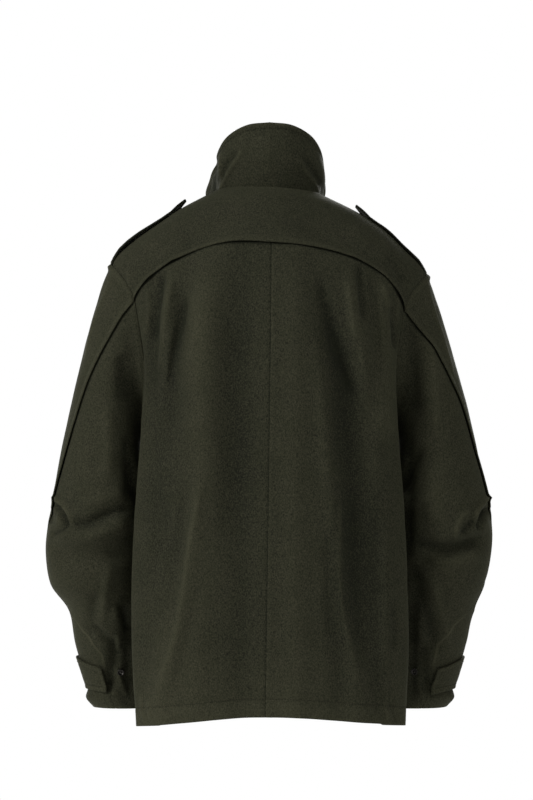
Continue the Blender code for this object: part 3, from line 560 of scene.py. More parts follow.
# Creases of the back, finer than its folds, in millimetres.
#    half_width height, then x and z of each place from end to end
BACK_CREASES = [
    (3.2, 2, 174, -144, 171, -171, 173, -196, 178, -216),
    (5, -5.5, 150, -118, 156, -154, 161, -189, 167, -231),
    (4.5, 3.2, 138, -129, 145, -175, 152, -221, 159, -273),
    (6.5, -4.5, 117, -151, 122, -193, 134, -245, 142, -301),
    (14, 2.5, 99, -140, 106, -210, 114, -308),
    (22, 5, 86, -28, 87, -280, 93, -532, 108, -727, 114, -839),
    (20, -4.5, 37, -14, 34, -280, 36, -532, 38, -713, 38, -839),
    (16, -5, 164, -182, 164, -350, 167, -504),
    (20, 6, 145, -504, 153, -671, 161, -853),
    (2.6, 2.6, 97, -406, 101, -455, 111, -511, 117, -560, 125, -611, 135, -655, 148, -699, 156, -736),
    (10, -2.5, 117, -406, 122, -476, 139, -560, 156, -643),
    (20, 4, -37, -28, -36, -280, -33, -532, -36, -713, -36, -839),
    (16, -4, -79, -115, -87, -196, -101, -308, -104, -532, -101, -713, -101, -825),
    (8, -5, -69, -123, -78, -168, -89, -217, -106, -273, -121, -322),
    (6, 3.5, -110, -133, -114, -175, -122, -231),
    (5, -5, -127, -109, -129, -147, -135, -203),
    (14, 7, -155, -115, -160, -224, -160, -385),
    (2.6, 2.2, -159, -137, -166, -171, -177, -200),
    (2.6, 2, -182, -157, -182, -175, -180, -200),
    (5, -5, -168, -168, -174, -199, -177, -238),
    (2.8, 2.1, -100, -420, -100, -497, -99, -550, -104, -603, -114, -650, -125, -716),
    (9, -3, -118, -406, -115, -532, -122, -604, -135, -699),
    (9, -2.5, -85, -476, -83, -574, -92, -657),
    (16, -7, -157, -392, -152, -574, -155, -797),
    (5, -3, -174, -582, -177, -622, -175, -664),
    (3, -2, -170, -730, -173, -744, -180, -761),
    (2.6, 1.8, -163, -727, -168, -744, -173, -758),
    (2.6, 2, 180, -719, 178, -746, 171, -761),
    (3, 1.6, 167, -727, 166, -744, 161, -758),
]


def seam_dip(distance):
    """The cloth sinks a little towards a plain seam, pressed open behind it."""
    return -0.0005 * bell(distance / 0.004)


def sunk(distance):
    """A panel's last few millimetres drop before it runs on beneath its neighbour."""
    return -UNDER_DEPTH * smooth(1 - distance / UNDER_FADE)


def wear_or_painted_light(distance, width=0.003, paler=0.35):
    """How much paler the cloth is along an edge or a ridge, where it is worn and where a highlight is
    painted; below zero, how dark a painted shade in a groove is.
    """
    return paler * bell(distance / width)


# painted shade along a seam
def painted_seam_shade(distance):
    return wear_or_painted_light(distance, GROOVE, GROOVE_SHADE)


def sewn_groove(distance, wanted):
    return -SEWN_IN * bell((distance - wanted) / GROOVE)


def back_chart(side, across, lower, upper):
    """From the centre back, in column 0, to the side seam and the armhole."""
    def centre(levels):
        return np.stack([side * np.radians(read(CENTRE_BACK_LEAN, levels)), levels], axis=-1)

    levels = mix(HEM, ARMPIT, lower)[:-1]
    turns = mix(centre(levels)[:, :1], SIDE_SEAM, across[None, :])
    low = np.stack(np.broadcast_arrays(turns, levels[:, None]), axis=-1)
    high = coons(across, upper, between(centre(np.float64(ARMPIT)), (SIDE_SEAM, ARMPIT)), yoke_seam(side),
                 lambda t: centre(mix(ARMPIT, YOKE_SEAM, t)),
                 lambda t: armhole(mix(math.pi, BACK_NOTCH, t)))
    return np.concatenate([low, high])


for side, word in SIDES:
    across = shares(0.36)
    lower = shares(0.41, more=(HEM_DEPTH - 0.003, HEM_DEPTH, HEM_DEPTH + 0.003))
    grid = on_body(back_chart(side, across, lower, shares(0.24)), side)
    normals = body_normals(grid)
    hem, top, centre, sideways = edge_distances(grid)
    x, z = grid[..., 0], grid[..., 2]
    relief, painted_crease_light = creased(grid, normals, BACK_CREASES)
    height = (unevenness(grid) + relief + sunk(top) + sunk(sideways) + sewn_groove(hem, HEM_DEPTH)
              + HEM_SWELL * smooth(1 - hem / HEM_DEPTH))
    # painted highlight and shade of creases and folds, painted shade in the side seam, under the yoke and
    # along the hem stitches, and painted light on the hem and above it
    wear_and_painted_light = (painted_crease_light + SHADED * fold_height(x, z, BACK_FOLDS) + painted_seam_shade(sideways) + wear_or_painted_light(top, 0.004, GROOVE_SHADE)
           + HEM_PAINTED_LIGHT * smooth((HEM_DEPTH - hem) / 0.01) + LOWER_PAINTED_LIGHT * smooth((0.12 - hem) / 0.1)
           + wear_or_painted_light(hem - HEM_DEPTH, 0.002, -0.1))
    # painted shade in the centre back seam on the left panel, and a painted highlight on the right panel's
    # edge beside it
    if side == LEFT:
        height, wear_and_painted_light, centre_lap = height + 0.6 * sunk(centre), wear_and_painted_light + 0.9 * painted_seam_shade(1.4 * centre), UNDER_LAP
    else:
        height, wear_and_painted_light, centre_lap = height + seam_dip(centre), wear_and_painted_light + wear_or_painted_light(centre, 0.003, 0.2), -SEAM_ROUND
    outer = moved_edges(grid + normals * height[..., None], {2: centre_lap, 3: UNDER_LAP, 1: UNDER_LAP})
    sewing = add_stitches("hem_stitches_back_" + word, [line_at(outer, normals, hem, HEM_DEPTH)])
    add_panel("back_panel_" + word, "back_" + word, outer, normals, wear_and_painted_light)

# ================================================================ the two fronts
# Plain front panels of the same cloth, each from the side seam to the middle, with the same turned hem.
FORWARD_SEAM_AT_NECK = math.radians(116)
#    half_width height, then x and z of each place from end to end
FRONT_CREASES = [
    (6, 3.5, 168, -170, 158, -215, 150, -290),
    (6, -5, 152, -165, 145, -205, 138, -265),
    (9, -4, 120, -150, 112, -230, 110, -330),
    (5.5, 4, 70, -420, 82, -540, 104, -680, 112, -745),
    (10, -4, 90, -430, 102, -560, 126, -690),
    (6, 3.5, -172, -180, -164, -230, -156, -310),
    (7, -5, -156, -175, -147, -225, -142, -300),
    (10, -4, -98, -170, -104, -260, -110, -380),
    (5.5, 4, -78, -400, -86, -520, -100, -640, -118, -740),
    (9, -4, -98, -460, -106, -570, -122, -690),
]


def front_chart(across, lower, upper):
    """From the side seam, in column 0, to the centre front."""
    levels = mix(HEM, ARMPIT, lower)[:-1]
    turns = mix(SIDE_SEAM, math.pi, across[None, :])
    low = np.stack(np.broadcast_arrays(turns, levels[:, None]), axis=-1)
    notch, corner = armhole(-FRONT_NOTCH), np.array([FORWARD_SEAM_AT_NECK, NECK])

    def top(share):
        to_neck, round_neck = np.clip(share / 0.5, 0, 1)[:, None], np.clip(share / 0.5 - 1, 0, 1)[:, None]
        return mix(notch, corner, to_neck) + (np.array([math.pi, NECK]) - corner) * round_neck
    high = coons(across, upper, between((SIDE_SEAM, ARMPIT), (math.pi, ARMPIT)), top,
                 lambda t: armhole(mix(math.pi, 2 * math.pi - FRONT_NOTCH, t)),
                 between((math.pi, ARMPIT), (math.pi, NECK)))
    return np.concatenate([low, high])


for side, word in SIDES:
    lower = shares(0.41, more=(HEM_DEPTH - 0.003, HEM_DEPTH, HEM_DEPTH + 0.003))
    grid = on_body(front_chart(shares(0.28), lower, shares(0.26)), side)
    normals = body_normals(grid)
    hem, top, sideways, middle = edge_distances(grid)
    at_armhole = np.arange(len(grid)) >= len(lower) - 1
    armhole_side = np.where(at_armhole[:, None], sideways, 1.0)
    at_yoke = np.arange(grid.shape[1]) < grid.shape[1] / 2
    x, z = grid[..., 0], grid[..., 2]
    relief, painted_crease_light = creased(grid, normals, (), FRONT_CREASES)
    height = (unevenness(grid) + relief + seam_dip(sideways) + sunk(armhole_side) + at_yoke * sunk(top)
              + sewn_groove(hem, HEM_DEPTH) + HEM_SWELL * smooth(1 - hem / HEM_DEPTH))
    # painted highlight and shade of creases and folds, and painted shade in the seams and along the hem
    # stitches; the hem's edge is worn paler
    wear_and_painted_light = (painted_crease_light + SHADED * fold_height(x, z, FRONT_FOLDS) + painted_seam_shade(armhole_side)
           + at_yoke * painted_seam_shade(top) + wear_or_painted_light(hem, 0.004) + wear_or_painted_light(hem - HEM_DEPTH, 0.002, -0.3))
    outer = moved_edges(grid + normals * height[..., None], {
        2: np.where(at_armhole, UNDER_LAP, -SEAM_ROUND),
        1: np.where(at_yoke, UNDER_LAP, -SEAM_ROUND),
        3: UNDER_LAP / 2})
    sewing = add_stitches("hem_stitches_front_" + word, [line_at(outer, normals, hem, HEM_DEPTH)])
    add_panel("front_panel_" + word, "front_" + word, outer, normals, wear_and_painted_light)

# ================================================================ the yoke
# One curved piece carried over both shoulders. Its lower edge is turned under and lapped over the back
# panels, so that it stands proud of them, with a painted highlight along it and a dark line beneath it that
# is partly its own shadow and partly painted shade on the back panels.
YOKE_LAP, LAP_RISE, LAP_FADE = 0.0016, 0.0032, 0.010
LAP_HIGHLIGHT = 0.32  # painted highlight along a lapped edge
# Where the edge gapes: x, half width along the edge, further rise.
YOKE_GAPES = [
    (0.170, 0.007, 0.0022), (0.136, 0.009, 0.0018), (-0.120, 0.008, 0.0010), (-0.184, 0.007, 0.0014),
]
YOKE_CREASES = [
    (8, -3.5, -169, -97, -180, -117, -193, -141),
    (2.6, 1.6, 205, -119, 202, -132, 200, -148),
    (12, 2, 180, -74, 165, -90, 155, -111),
    (9, -1.8, 132, -54, 118, -74, 113, -97),
    (10, 1.5, -114, -57, -131, -74, -142, -94),
]


def yoke_half_chart(side, round_back, round_arm, rise):
    """Rows from the outer edge to the neck; columns from the centre back round to the forward seam."""
    back, arm = yoke_seam(side)(round_back), armhole(mix(BACK_NOTCH, -FRONT_NOTCH, round_arm))
    outer = np.concatenate([back, arm[1:]])
    share = np.concatenate([round_back * len(back), len(back) + round_arm[1:] * len(arm)])
    share = share / share[-1]
    neck = np.stack([FORWARD_SEAM_AT_NECK * share, np.full(len(outer), float(NECK))], axis=-1)
    return outer[None] * (1 - rise[:, None, None]) + neck[None] * rise[:, None, None]


halves = []
round_back, round_arm, rise = shares(0.25), shares(0.19), shares(0.14)
for side, word in SIDES:
    halves.append(on_body(yoke_half_chart(side, round_back, round_arm, rise), side))
grid = np.concatenate([halves[1][:, :0:-1], halves[0]], axis=1)
from_middle = np.abs(np.arange(grid.shape[1]) - (grid.shape[1] - 1) / 2)[None, :]
lapped = smooth((len(round_back) + 2 - from_middle) / 6)
normals = body_normals(grid)
outer_edge, neck, left_end, right_end = edge_distances(grid)
gape = sum(rise * bell((grid[..., 0] - x) / half_width) for x, half_width, rise in YOKE_GAPES)
relief, painted_crease_light = creased(grid, normals, YOKE_CREASES)
height = (unevenness(grid) + relief + lapped * (LAP_RISE + gape) * smooth(1 - outer_edge / LAP_FADE)
          + (1 - lapped) * sunk(outer_edge))
# painted highlight along the lapped edge and painted shade in the armhole seam; the neck edge is worn paler
wear_and_painted_light = (painted_crease_light + lapped * LAP_HIGHLIGHT * smooth(1.6 - outer_edge / 0.005) + (1 - lapped) * painted_seam_shade(outer_edge)
       + wear_or_painted_light(neck))
outer = moved_edges(grid + normals * height[..., None], {
    0: mix(UNDER_LAP, YOKE_LAP, lapped[0]), 1: -SEAM_ROUND, 2: -SEAM_ROUND, 3: -SEAM_ROUND})
add_panel("back_yoke", "yoke", outer, normals, wear_and_painted_light)

# ================================================================ the sleeves
# Each sleeve has a top panel, lapped at the back over a shaped under panel that balloons at the elbow, where
# the under panel is taken in by small tucks. The cuff's edge is turned in and left thick and round.
# One row for each ring, from the armhole to the cuff's edge: outermost and innermost points as x and z, its
# middle in y, its half depth from front to back and its squareness.
#    outer_x outer_z inner_x inner_z middle_y half_y square
SLEEVE_RINGS = [
    (0.230, -0.107, 0.160, -0.359, 0.000, 0.080, 2.0),  # armhole
    (0.244, -0.142, 0.176, -0.352, -0.006, 0.081, 2.0),
    (0.263, -0.209, 0.184, -0.362, -0.009, 0.084, 2.0),
    (0.284, -0.294, 0.180, -0.393, -0.010, 0.086, 2.1),  # upper sleeve
    (0.302, -0.374, 0.175, -0.431, -0.010, 0.086, 2.1),
    (0.315, -0.446, 0.175, -0.474, -0.011, 0.085, 2.1),  # above the elbow
    (0.324, -0.516, 0.176, -0.524, -0.014, 0.083, 2.1),  # elbow
    (0.318, -0.569, 0.176, -0.569, -0.018, 0.078, 2.1),
    (0.292, -0.609, 0.175, -0.606, -0.026, 0.071, 2.1),  # below the elbow
    (0.283, -0.659, 0.174, -0.654, -0.037, 0.060, 2.1),
    (0.270, -0.702, 0.174, -0.694, -0.046, 0.052, 2.1),  # strap
    (0.265, -0.721, 0.174, -0.714, -0.049, 0.050, 2.1),  # drawn in below the strap
    (0.268, -0.736, 0.173, -0.732, -0.051, 0.052, 2.1),
    (0.258, -0.749, 0.174, -0.749, -0.053, 0.048, 2.1),  # cuff edge
]
CAP_FADE = 3.0  # rings over which the sleeve leaves the armhole's own shape
# The right sleeve is bent a little more, so its elbow is higher: how much further out and higher its outer
# points are than the left one's.
#    ring out up
RIGHT_ELBOW = [(0, 0.0, 0.0), (1, -0.0015, 0.0), (2, 0.0005, 0.0), (3, 0.002, 0.0), (4, 0.001, 0.0),
               (5, 0.003, 0.004), (6, 0.0, 0.013), (7, -0.005, 0.004), (8, 0.005, 0.0), (9, 0.002, 0.0),
               (10, 0.003, 0.0), (13, 0.002, 0.0)]
BACK_SEAM_ROUND = {  # ring, angle round the sleeve from its outside towards its back
    LEFT: [(0.0, math.degrees(BACK_NOTCH)), (1.5, 58), (3.0, 44), (4.5, 29), (5.4, 18), (6.0, 3), (7.0, 0),
           (8.0, 18), (8.4, 40), (8.8, 59), (9.3, 75), (13.0, 80)],
    RIGHT: [(0.0, math.degrees(BACK_NOTCH)), (1.5, 51), (3.0, 34), (4.5, 21), (5.4, 15), (6.0, 3), (7.0, 0),
            (7.6, 8), (8.0, 34), (8.4, 58), (9.0, 78), (13.0, 84)],
}
FRONT_SEAM_ROUND = [(0.0, -100.0), (4.0, -112.0), (13.0, -112.0)]
FRONT_SEAM_ANGLE = mix(math.pi, 2 * math.pi - FRONT_NOTCH, 0.5)  # where the front seam meets the armhole
# Soft folds across the sleeve, each from one place to another as an angle round it and a ring.
#    angle_a ring_a angle_b ring_b half_width height
SLEEVE_FOLDS = {
    LEFT: [
        (20, 6.05, 150, 6.2, 0.013, -0.008),
        (30, 5.65, 120, 5.7, 0.013, 0.005),
        (110, 3.2, 160, 4.9, 0.014, -0.009),
        (100, 4.9, 165, 5.4, 0.012, 0.005),
        (85, 8.4, 150, 7.6, 0.012, 0.005),
        (90, 9.3, 160, 8.3, 0.012, -0.006),
        (-30, 6.3, -130, 6.1, 0.014, -0.008),
        (-40, 5.7, -120, 5.3, 0.014, 0.005),
        (-60, 8.6, -150, 7.8, 0.013, -0.005),
    ],
    RIGHT: [
        (25, 5.9, 150, 6.5, 0.014, -0.008),
        (20, 5.5, 110, 5.8, 0.013, 0.005),
        (105, 3.0, 160, 4.5, 0.014, -0.009),
        (90, 4.7, 165, 4.4, 0.011, 0.006),
        (80, 8.2, 160, 7.3, 0.013, 0.005),
        (90, 9.2, 160, 8.5, 0.012, -0.006),
        (-25, 6.1, -130, 6.4, 0.014, -0.008),
        (-40, 5.5, -120, 5.6, 0.014, 0.005),
        (-60, 8.4, -150, 8.0, 0.013, -0.005),
    ],
}
# Tucks and creases of the back of each sleeve, and of its front.
#    half_width height, then x and z of each place from end to end
SLEEVE_CREASES = {LEFT: [
    (2.6, 1.8, 226, -118, 234, -145, 253, -191, 266, -254),
    (2.8, 5, 313, -442, 304, -449, 296, -455, 289, -464, 284, -474, 282, -486),
    (3.6, -7, 313, -451, 304, -458, 296, -466, 290, -479, 289, -492),
    (2.4, 2.5, 299, -459, 301, -471, 302, -484),
    (3, -2.6, 319, -455, 314, -466, 313, -485),
    (3.4, -4, 289, -488, 300, -492, 313, -498),
    (8, -7.5, 286, -474, 263, -482, 237, -472, 217, -464, 191, -459),
    (8, 2.5, 272, -456, 243, -448, 203, -439),
    (9, 3.5, 266, -502, 234, -492, 197, -485),
    (12, -5, 211, -236, 206, -273, 203, -312),
    (7, -6, 204, -348, 201, -405, 203, -455),
    (9, 3, 231, -305, 229, -362, 231, -426),
    (7, -4, 214, -591, 207, -614, 200, -640),
    (3.5, 1.8, 218, -638, 217, -653, 218, -668),
    (10, -6, 220, -648, 224, -686, 234, -726),
    (9, -5, 201, -577, 203, -663, 206, -752),
    (5, 2.5, 226, -689, 213, -711, 203, -737),
    (6, -3.5, 254, -625, 234, -646, 214, -657),
    (8, -3, 246, -577, 254, -613, 260, -656),
    (7, 2.5, 226, -534, 234, -577, 240, -634),
], RIGHT: [
    (2.6, 1.8, -226, -130, -237, -176, -253, -226, -268, -284),
    (2.8, 5, -320, -441, -310, -449, -302, -458, -296, -466, -293, -478),
    (4.2, -8, -319, -458, -310, -465, -303, -478, -299, -495),
    (3.2, 4.6, -289, -462, -277, -469, -270, -479, -266, -491, -264, -505),
    (5, -6, -292, -475, -283, -485, -274, -499),
    (8, -6.5, -310, -502, -284, -512, -256, -518, -221, -512, -198, -502),
    (9, 3.5, -307, -524, -266, -535, -223, -532),
    (14, 4, -236, -393, -237, -445, -234, -488),
    (13, -5, -198, -178, -203, -254, -204, -340),
    (8, -5, -200, -348, -198, -448, -196, -541),
    (11, -6, -201, -534, -218, -598, -241, -674),
    (10, -5, -218, -648, -221, -689, -227, -729),
    (9, -6, -203, -562, -204, -648, -207, -752),
    (8, 3, -230, -555, -244, -605, -261, -656),
    (8, 3, -227, -204, -236, -276, -239, -362),
]}
SLEEVE_FRONT_CREASES = {LEFT: [
    (4.5, 4.5, 300, -470, 270, -486, 235, -490, 200, -482),
    (7, -6.5, 296, -488, 262, -503, 228, -506, 196, -496),
    (5.5, 4, 286, -530, 250, -526, 210, -512),
    (6, -4.5, 276, -440, 245, -452, 210, -450),
    (10, -4.5, 215, -220, 212, -290, 206, -360),
    (6, 3, 238, -240, 236, -310, 232, -380),
    (6, 3, 262, -600, 240, -628, 214, -640),
], RIGHT: [
    (4.5, 4.5, -304, -462, -276, -482, -240, -492, -204, -486),
    (7, -6.5, -300, -482, -268, -500, -230, -510, -198, -504),
    (5.5, 4, -290, -524, -254, -532, -214, -522),
    (6, -4.5, -270, -430, -240, -446, -208, -452),
    (10, -4.5, -212, -225, -208, -300, -202, -370),
    (6, 3, -236, -235, -238, -315, -230, -390),
    (6, 3, -266, -590, -242, -622, -216, -636),
]}
METRES_PER_ANGLE, METRES_PER_RING = 0.078, 0.050  # the sleeve rolled out flat, for a fold's width
SLEEVE_FOLDS_FROM, SLEEVE_FOLDS_TO = 1.0, 9.3  # rings; the armhole and the cuff stay plain
FINE_STEP = 0.0026  # between neighbouring points of the sleeves
LAP_STANDS_TO, FLAT_LAP = 5.1, (7.8, 9.9)  # rings: down to where the back seam's lap stands, and where it lies flat with a painted highlight
SLEEVE_PAINTED_LIGHT = 0.18  # how much paler the sleeves are painted than the body, as painted light
CAP_LAP = 0.0008  # how far the sleeve's head reaches over the armhole
SLEEVE_LAP = (0.0002, 0.0014)  # how far the top panel reaches over the under panel below and above the elbow
CAP_ROLL, STRAP_ROLL = 0.0012, 0.0022  # how far the sleeve's head rolls out above its seam, and by the strap


def sleeve_ring_point(round_it, ring, side):
    """A point of the plain sleeve: its angle from the outside towards the back, and its ring."""
    outer_x, outer_z, inner_x, inner_z, middle_y, half_y, square = np.moveaxis(
        along_rows(SLEEVE_RINGS, ring), -1, 0)
    if side == RIGHT:
        bend = np.array(RIGHT_ELBOW)
        outer_x = outer_x + np.interp(ring, bend[:, 0], bend[:, 1])
        outer_z = outer_z + np.interp(ring, bend[:, 0], bend[:, 2])
    out, back = np.cos(round_it), np.sin(round_it)
    reach = (np.abs(out) ** square + np.abs(back) ** square) ** (-1 / square)
    share = (1 + out * reach) / 2
    return np.stack([mix(inner_x, outer_x, share), middle_y + half_y * back * reach,
                     mix(inner_z, outer_z, share)], axis=-1)


def sleeve_fold_height(round_it, ring, side):
    wrapped = (round_it + math.pi) % (2 * math.pi) - math.pi
    total = np.zeros(round_it.shape)
    for angle_a, ring_a, angle_b, ring_b, half_width, height in SLEEVE_FOLDS[side]:
        start = np.array([math.radians(angle_a) * METRES_PER_ANGLE, ring_a * METRES_PER_RING])
        run = np.array([math.radians(angle_b) * METRES_PER_ANGLE, ring_b * METRES_PER_RING]) - start
        offset = np.stack([wrapped * METRES_PER_ANGLE, ring * METRES_PER_RING], axis=-1) - start
        t = (offset @ run) / (run @ run)
        away = np.linalg.norm(offset - t[..., None] * run, axis=-1)
        total += height * bell(away / half_width) * faded(t, 0.3)
    return total * smooth(ring - SLEEVE_FOLDS_FROM) * smooth(SLEEVE_FOLDS_TO - ring)


def sleeve_point(round_it, armhole_at, ring, side):
    """The sleeve with its cap eased onto the armhole at the angle armhole_at."""
    plain = sleeve_ring_point(round_it, ring, side)
    out = np.stack([np.cos(round_it), np.sin(round_it), np.zeros(round_it.shape)], axis=-1)
    plain = plain + out * sleeve_fold_height(round_it, ring, side)[..., None]
    start = sleeve_ring_point(armhole_at, np.zeros_like(armhole_at), side)
    edge = on_body(armhole(armhole_at), side)
    ease = 1 - smooth(ring / CAP_FADE)
    mirror = np.array([side, 1.0, 1.0])
    return settled(plain * mirror) + (edge - settled(start * mirror)) * ease[..., None]


def sleeve_panel(armhole_angles, first_seam, last_seam, side, down, across, last_turn=0.0):
    """A sleeve panel: rows down the sleeve, columns between two seams, started from its armhole points."""
    ring = down[:, None] * (len(SLEEVE_RINGS) - 1)
    even = mix(np.radians(read(first_seam, ring)), np.radians(read(last_seam, ring)) + last_turn,
               across[None, :])
    start = np.broadcast_to(mix(*armhole_angles, across)[None, :], even.shape)
    angle = mix(start, even, smooth(ring / CAP_FADE))
    return sleeve_point(angle, start, np.broadcast_to(ring, even.shape), side)


def sleeve_normals(grid, side):
    return normals_of(grid, grid * (0, 0, 1) + (0.23 * side, -0.02, 0))


for side, word in SIDES:
    down = shares(0.66, step=FINE_STEP)
    ring = down[:, None] * (len(SLEEVE_RINGS) - 1)
    raised = 1 - smooth((ring - LAP_STANDS_TO) / 0.6)
    flat = smooth((ring - FLAT_LAP[0]) / 0.5) * smooth((FLAT_LAP[1] - ring) / 0.6)
    # the top panel runs from the front seam, over the shoulder, to the back seam
    grid = sleeve_panel((FRONT_SEAM_ANGLE - 2 * math.pi, BACK_NOTCH), FRONT_SEAM_ROUND, BACK_SEAM_ROUND[side],
                        side, down, shares(0.24, step=FINE_STEP))
    normals = sleeve_normals(grid, side)
    cap, cuff, front, back = edge_distances(grid)
    relief, painted_crease_light = creased(grid, normals, SLEEVE_CREASES[side], SLEEVE_FRONT_CREASES[side])
    roll = CAP_ROLL + STRAP_ROLL * bell(grid[..., 1] / 0.028)
    height = (unevenness(grid) + relief + roll * bell((cap - 0.004) / 0.004) + seam_dip(front)
              + raised * LAP_RISE * smooth(1 - back / LAP_FADE) * smooth(cap / 0.01))
    # painted light: the whole sleeve paler, painted highlights along the standing lap, along the flat back
    # seam and on the rolled head, with the creases' highlight and shade; the cuff edge is worn paler
    wear_and_painted_light = (painted_crease_light + SLEEVE_PAINTED_LIGHT + raised * LAP_HIGHLIGHT * smooth(1.6 - back / 0.005)
           + flat * wear_or_painted_light(back - 0.001, 0.0018, 1.3) + wear_or_painted_light(cuff, 0.004, 0.3) + wear_or_painted_light(cap - 0.003, 0.003, 0.25))
    outer = moved_edges(grid + normals * height[..., None], {
        0: CAP_LAP, 2: -SEAM_ROUND, 3: mix(*SLEEVE_LAP, raised[:, 0])})
    add_panel("sleeve_top_panel_" + word, "sleeve_top_" + word, outer, normals, wear_and_painted_light)
    # the under panel runs from the back seam, round the inside, to the front seam
    grid = sleeve_panel((BACK_NOTCH, FRONT_SEAM_ANGLE), BACK_SEAM_ROUND[side], FRONT_SEAM_ROUND, side, down,
                        shares(0.26, step=FINE_STEP), 2 * math.pi)
    normals = sleeve_normals(grid, side)
    cap, cuff, back, front = edge_distances(grid)
    relief, painted_crease_light = creased(grid, normals, SLEEVE_CREASES[side], SLEEVE_FRONT_CREASES[side])
    height = (unevenness(grid) + relief + 0.5 * CAP_ROLL * bell((cap - 0.005) / 0.004) + sunk(front)
              + mix(0.3, 1.0, raised) * sunk(back))
    # painted shade beneath the lapped back seam and in the front seam, with the creases' highlight and shade;
    # the cuff edge is worn paler
    wear_and_painted_light = (painted_crease_light + SLEEVE_PAINTED_LIGHT + wear_or_painted_light(back, 0.004, mix(-0.12, GROOVE_SHADE, raised)) + painted_seam_shade(front)
           + wear_or_painted_light(cuff, 0.004, 0.3))
    outer = moved_edges(grid + normals * height[..., None], {0: CAP_LAP, 3: UNDER_LAP, 2: UNDER_LAP})
    add_panel("sleeve_under_panel_" + word, "sleeve_under_" + word, outer, normals, wear_and_painted_light)

# ================================================================ the collar
# A deep doubled collar, turned up and falling open at the front, with one row of stitches along its edge. It
# has creased where it stands away from the neck, and its left end falls back behind a soft fold.
# Its top edge from the centre back round to the front corner:
#    turn   x      y       z
COLLAR_TOP = [
    (0, 0.000, 0.083, 0.089), (22, 0.032, 0.077, 0.086), (45, 0.059, 0.058, 0.074), (68, 0.074, 0.030, 0.057),
    (90, 0.080, -0.006, 0.038), (115, 0.084, -0.048, 0.018), (140, 0.083, -0.090, -0.001),
    (170, 0.062, -0.122, -0.012),
]
COLLAR_CREASES = [
    (2.4, 3, 41, 62, 42, 46, 53, 31, 61, 18, 66, 7, 73, -11),
    (4, -3, 49, 56, 52, 45, 62, 32, 68, 19, 76, 5),
    (2.4, 1.7, -35, 48, -49, 26, -62, 11, -75, -6),
    (4.2, -3, -48, 45, -58, 31, -70, 14, -80, 1),
    (2.4, 2.4, 70, 55, 71, 36, 70, 15, 70, -6),
    (3.4, -4, 78, 51, 80, 29, 81, 8, 83, -11),
    (12, 1.5, 11, 72, 5, 44, 2, 8),
]
COLLAR_CLOTH = 0.0032
COLLAR_BELLY = 0.005  # how far the collar bows out between its edges
COLLAR_WING = {LEFT: 0.006, RIGHT: -0.002}  # the left wing falls further open
COLLAR_FLARE = {LEFT: 0.004, RIGHT: 0.0}  # and its lower end further still
WING_FROM, FLARE_FROM = 1.3, 1.9  # radians round the neck from the centre back
EDGE_STITCHES = 0.006  # from the edge


def collar_half(neck_turns, side, rise):
    """Rows from the neck seam to the top edge, columns from the centre back to the front corner."""
    base = on_body(np.stack([neck_turns, np.full(len(neck_turns), float(NECK))], axis=-1), side)
    table = np.asarray(COLLAR_TOP, float)
    top = along_rows(table[:, 1:], np.interp(np.degrees(neck_turns), table[:, 0], np.arange(len(table))))
    top[:, 0] += (COLLAR_WING[side] * smooth(neck_turns - WING_FROM)
                  + COLLAR_FLARE[side] * smooth((neck_turns - FLARE_FROM) / 0.5))
    top = top * (side, 1, 1)
    rise = rise[:, None, None]
    outward = np.stack([side * np.sin(neck_turns), np.cos(neck_turns), 0 * neck_turns], axis=-1)
    return mix(base[None], top[None], rise) + outward[None] * COLLAR_BELLY * np.sin(math.pi * rise) ** 2


turns = math.pi * shares(0.26, more=(0.26 - EDGE_STITCHES - 0.002, 0.26 - EDGE_STITCHES + 0.002))
rise = shares(0.09, more=(0.09 - EDGE_STITCHES - 0.0015, 0.09 - EDGE_STITCHES + 0.0015))
halves = [collar_half(turns, side, rise) for side in (RIGHT, LEFT)]
grid = np.concatenate([halves[0][:, :0:-1], halves[1]], axis=1)
normals = body_normals(grid)
base, edge, right_end, left_end = edge_distances(grid)
nearest = np.minimum(np.minimum(edge, right_end), left_end)
relief, painted_crease_light = creased(grid, normals, COLLAR_CREASES)
height = unevenness(grid) + relief + seam_dip(base) + sewn_groove(nearest, EDGE_STITCHES)
# the edges are worn paler, with painted shade along the row of stitches
wear_and_painted_light = painted_crease_light + wear_or_painted_light(nearest) + wear_or_painted_light(nearest - EDGE_STITCHES, 0.0015, -0.25)
outer = moved_edges(grid + normals * height[..., None], {0: UNDER_LAP})
sewing = add_stitches("collar_edge_stitches", [line_at(outer, normals, edge, EDGE_STITCHES)])
add_panel("standing_collar", "collar", outer, normals, wear_and_painted_light,
          COLLAR_CLOTH)

# ================================================================ the shoulder straps
# A doubled strap on each shoulder, sewn into the armhole. Its pointed end is free and stands up off the yoke.
# One row for each line across the strap, from the armhole to its pointed free end:
#    x     half_width front_lift back_lift
EPAULETTE = [
    (0.2265, 0.026, -0.0005, -0.0005), (0.214, 0.026, 0.0020, 0.0030), (0.200, 0.0255, 0.0025, 0.0038),
    (0.184, 0.0245, 0.0020, 0.0035), (0.168, 0.0235, 0.0012, 0.0022), (0.153, 0.0225, 0.0008, 0.0014),
    (0.141, 0.0215, 0.0008, 0.0016), (0.130, 0.014, 0.0022, 0.0044), (0.119, 0.004, 0.0058, 0.0068),
]
EPAULETTE_SHORTER = {LEFT: 0.0, RIGHT: 0.035}  # the share by which its free end falls short
EPAULETTE_PRESSED = {LEFT: 0.0, RIGHT: 0.0014}  # how much flatter its sewn end lies
DOUBLED_CLOTH = 0.003


def shoulder_chart(x, y):
    """The turn and level of the body's point above x and y, between the shoulder point and the neck."""
    turn = math.atan2(x, y)
    levels = np.linspace(SHOULDER, NECK, 81)
    points = body_point(np.full(levels.shape, turn), levels)
    reach = np.hypot(points[:, 0], points[:, 1])
    return turn, np.interp(-math.hypot(x, y), -reach, levels)


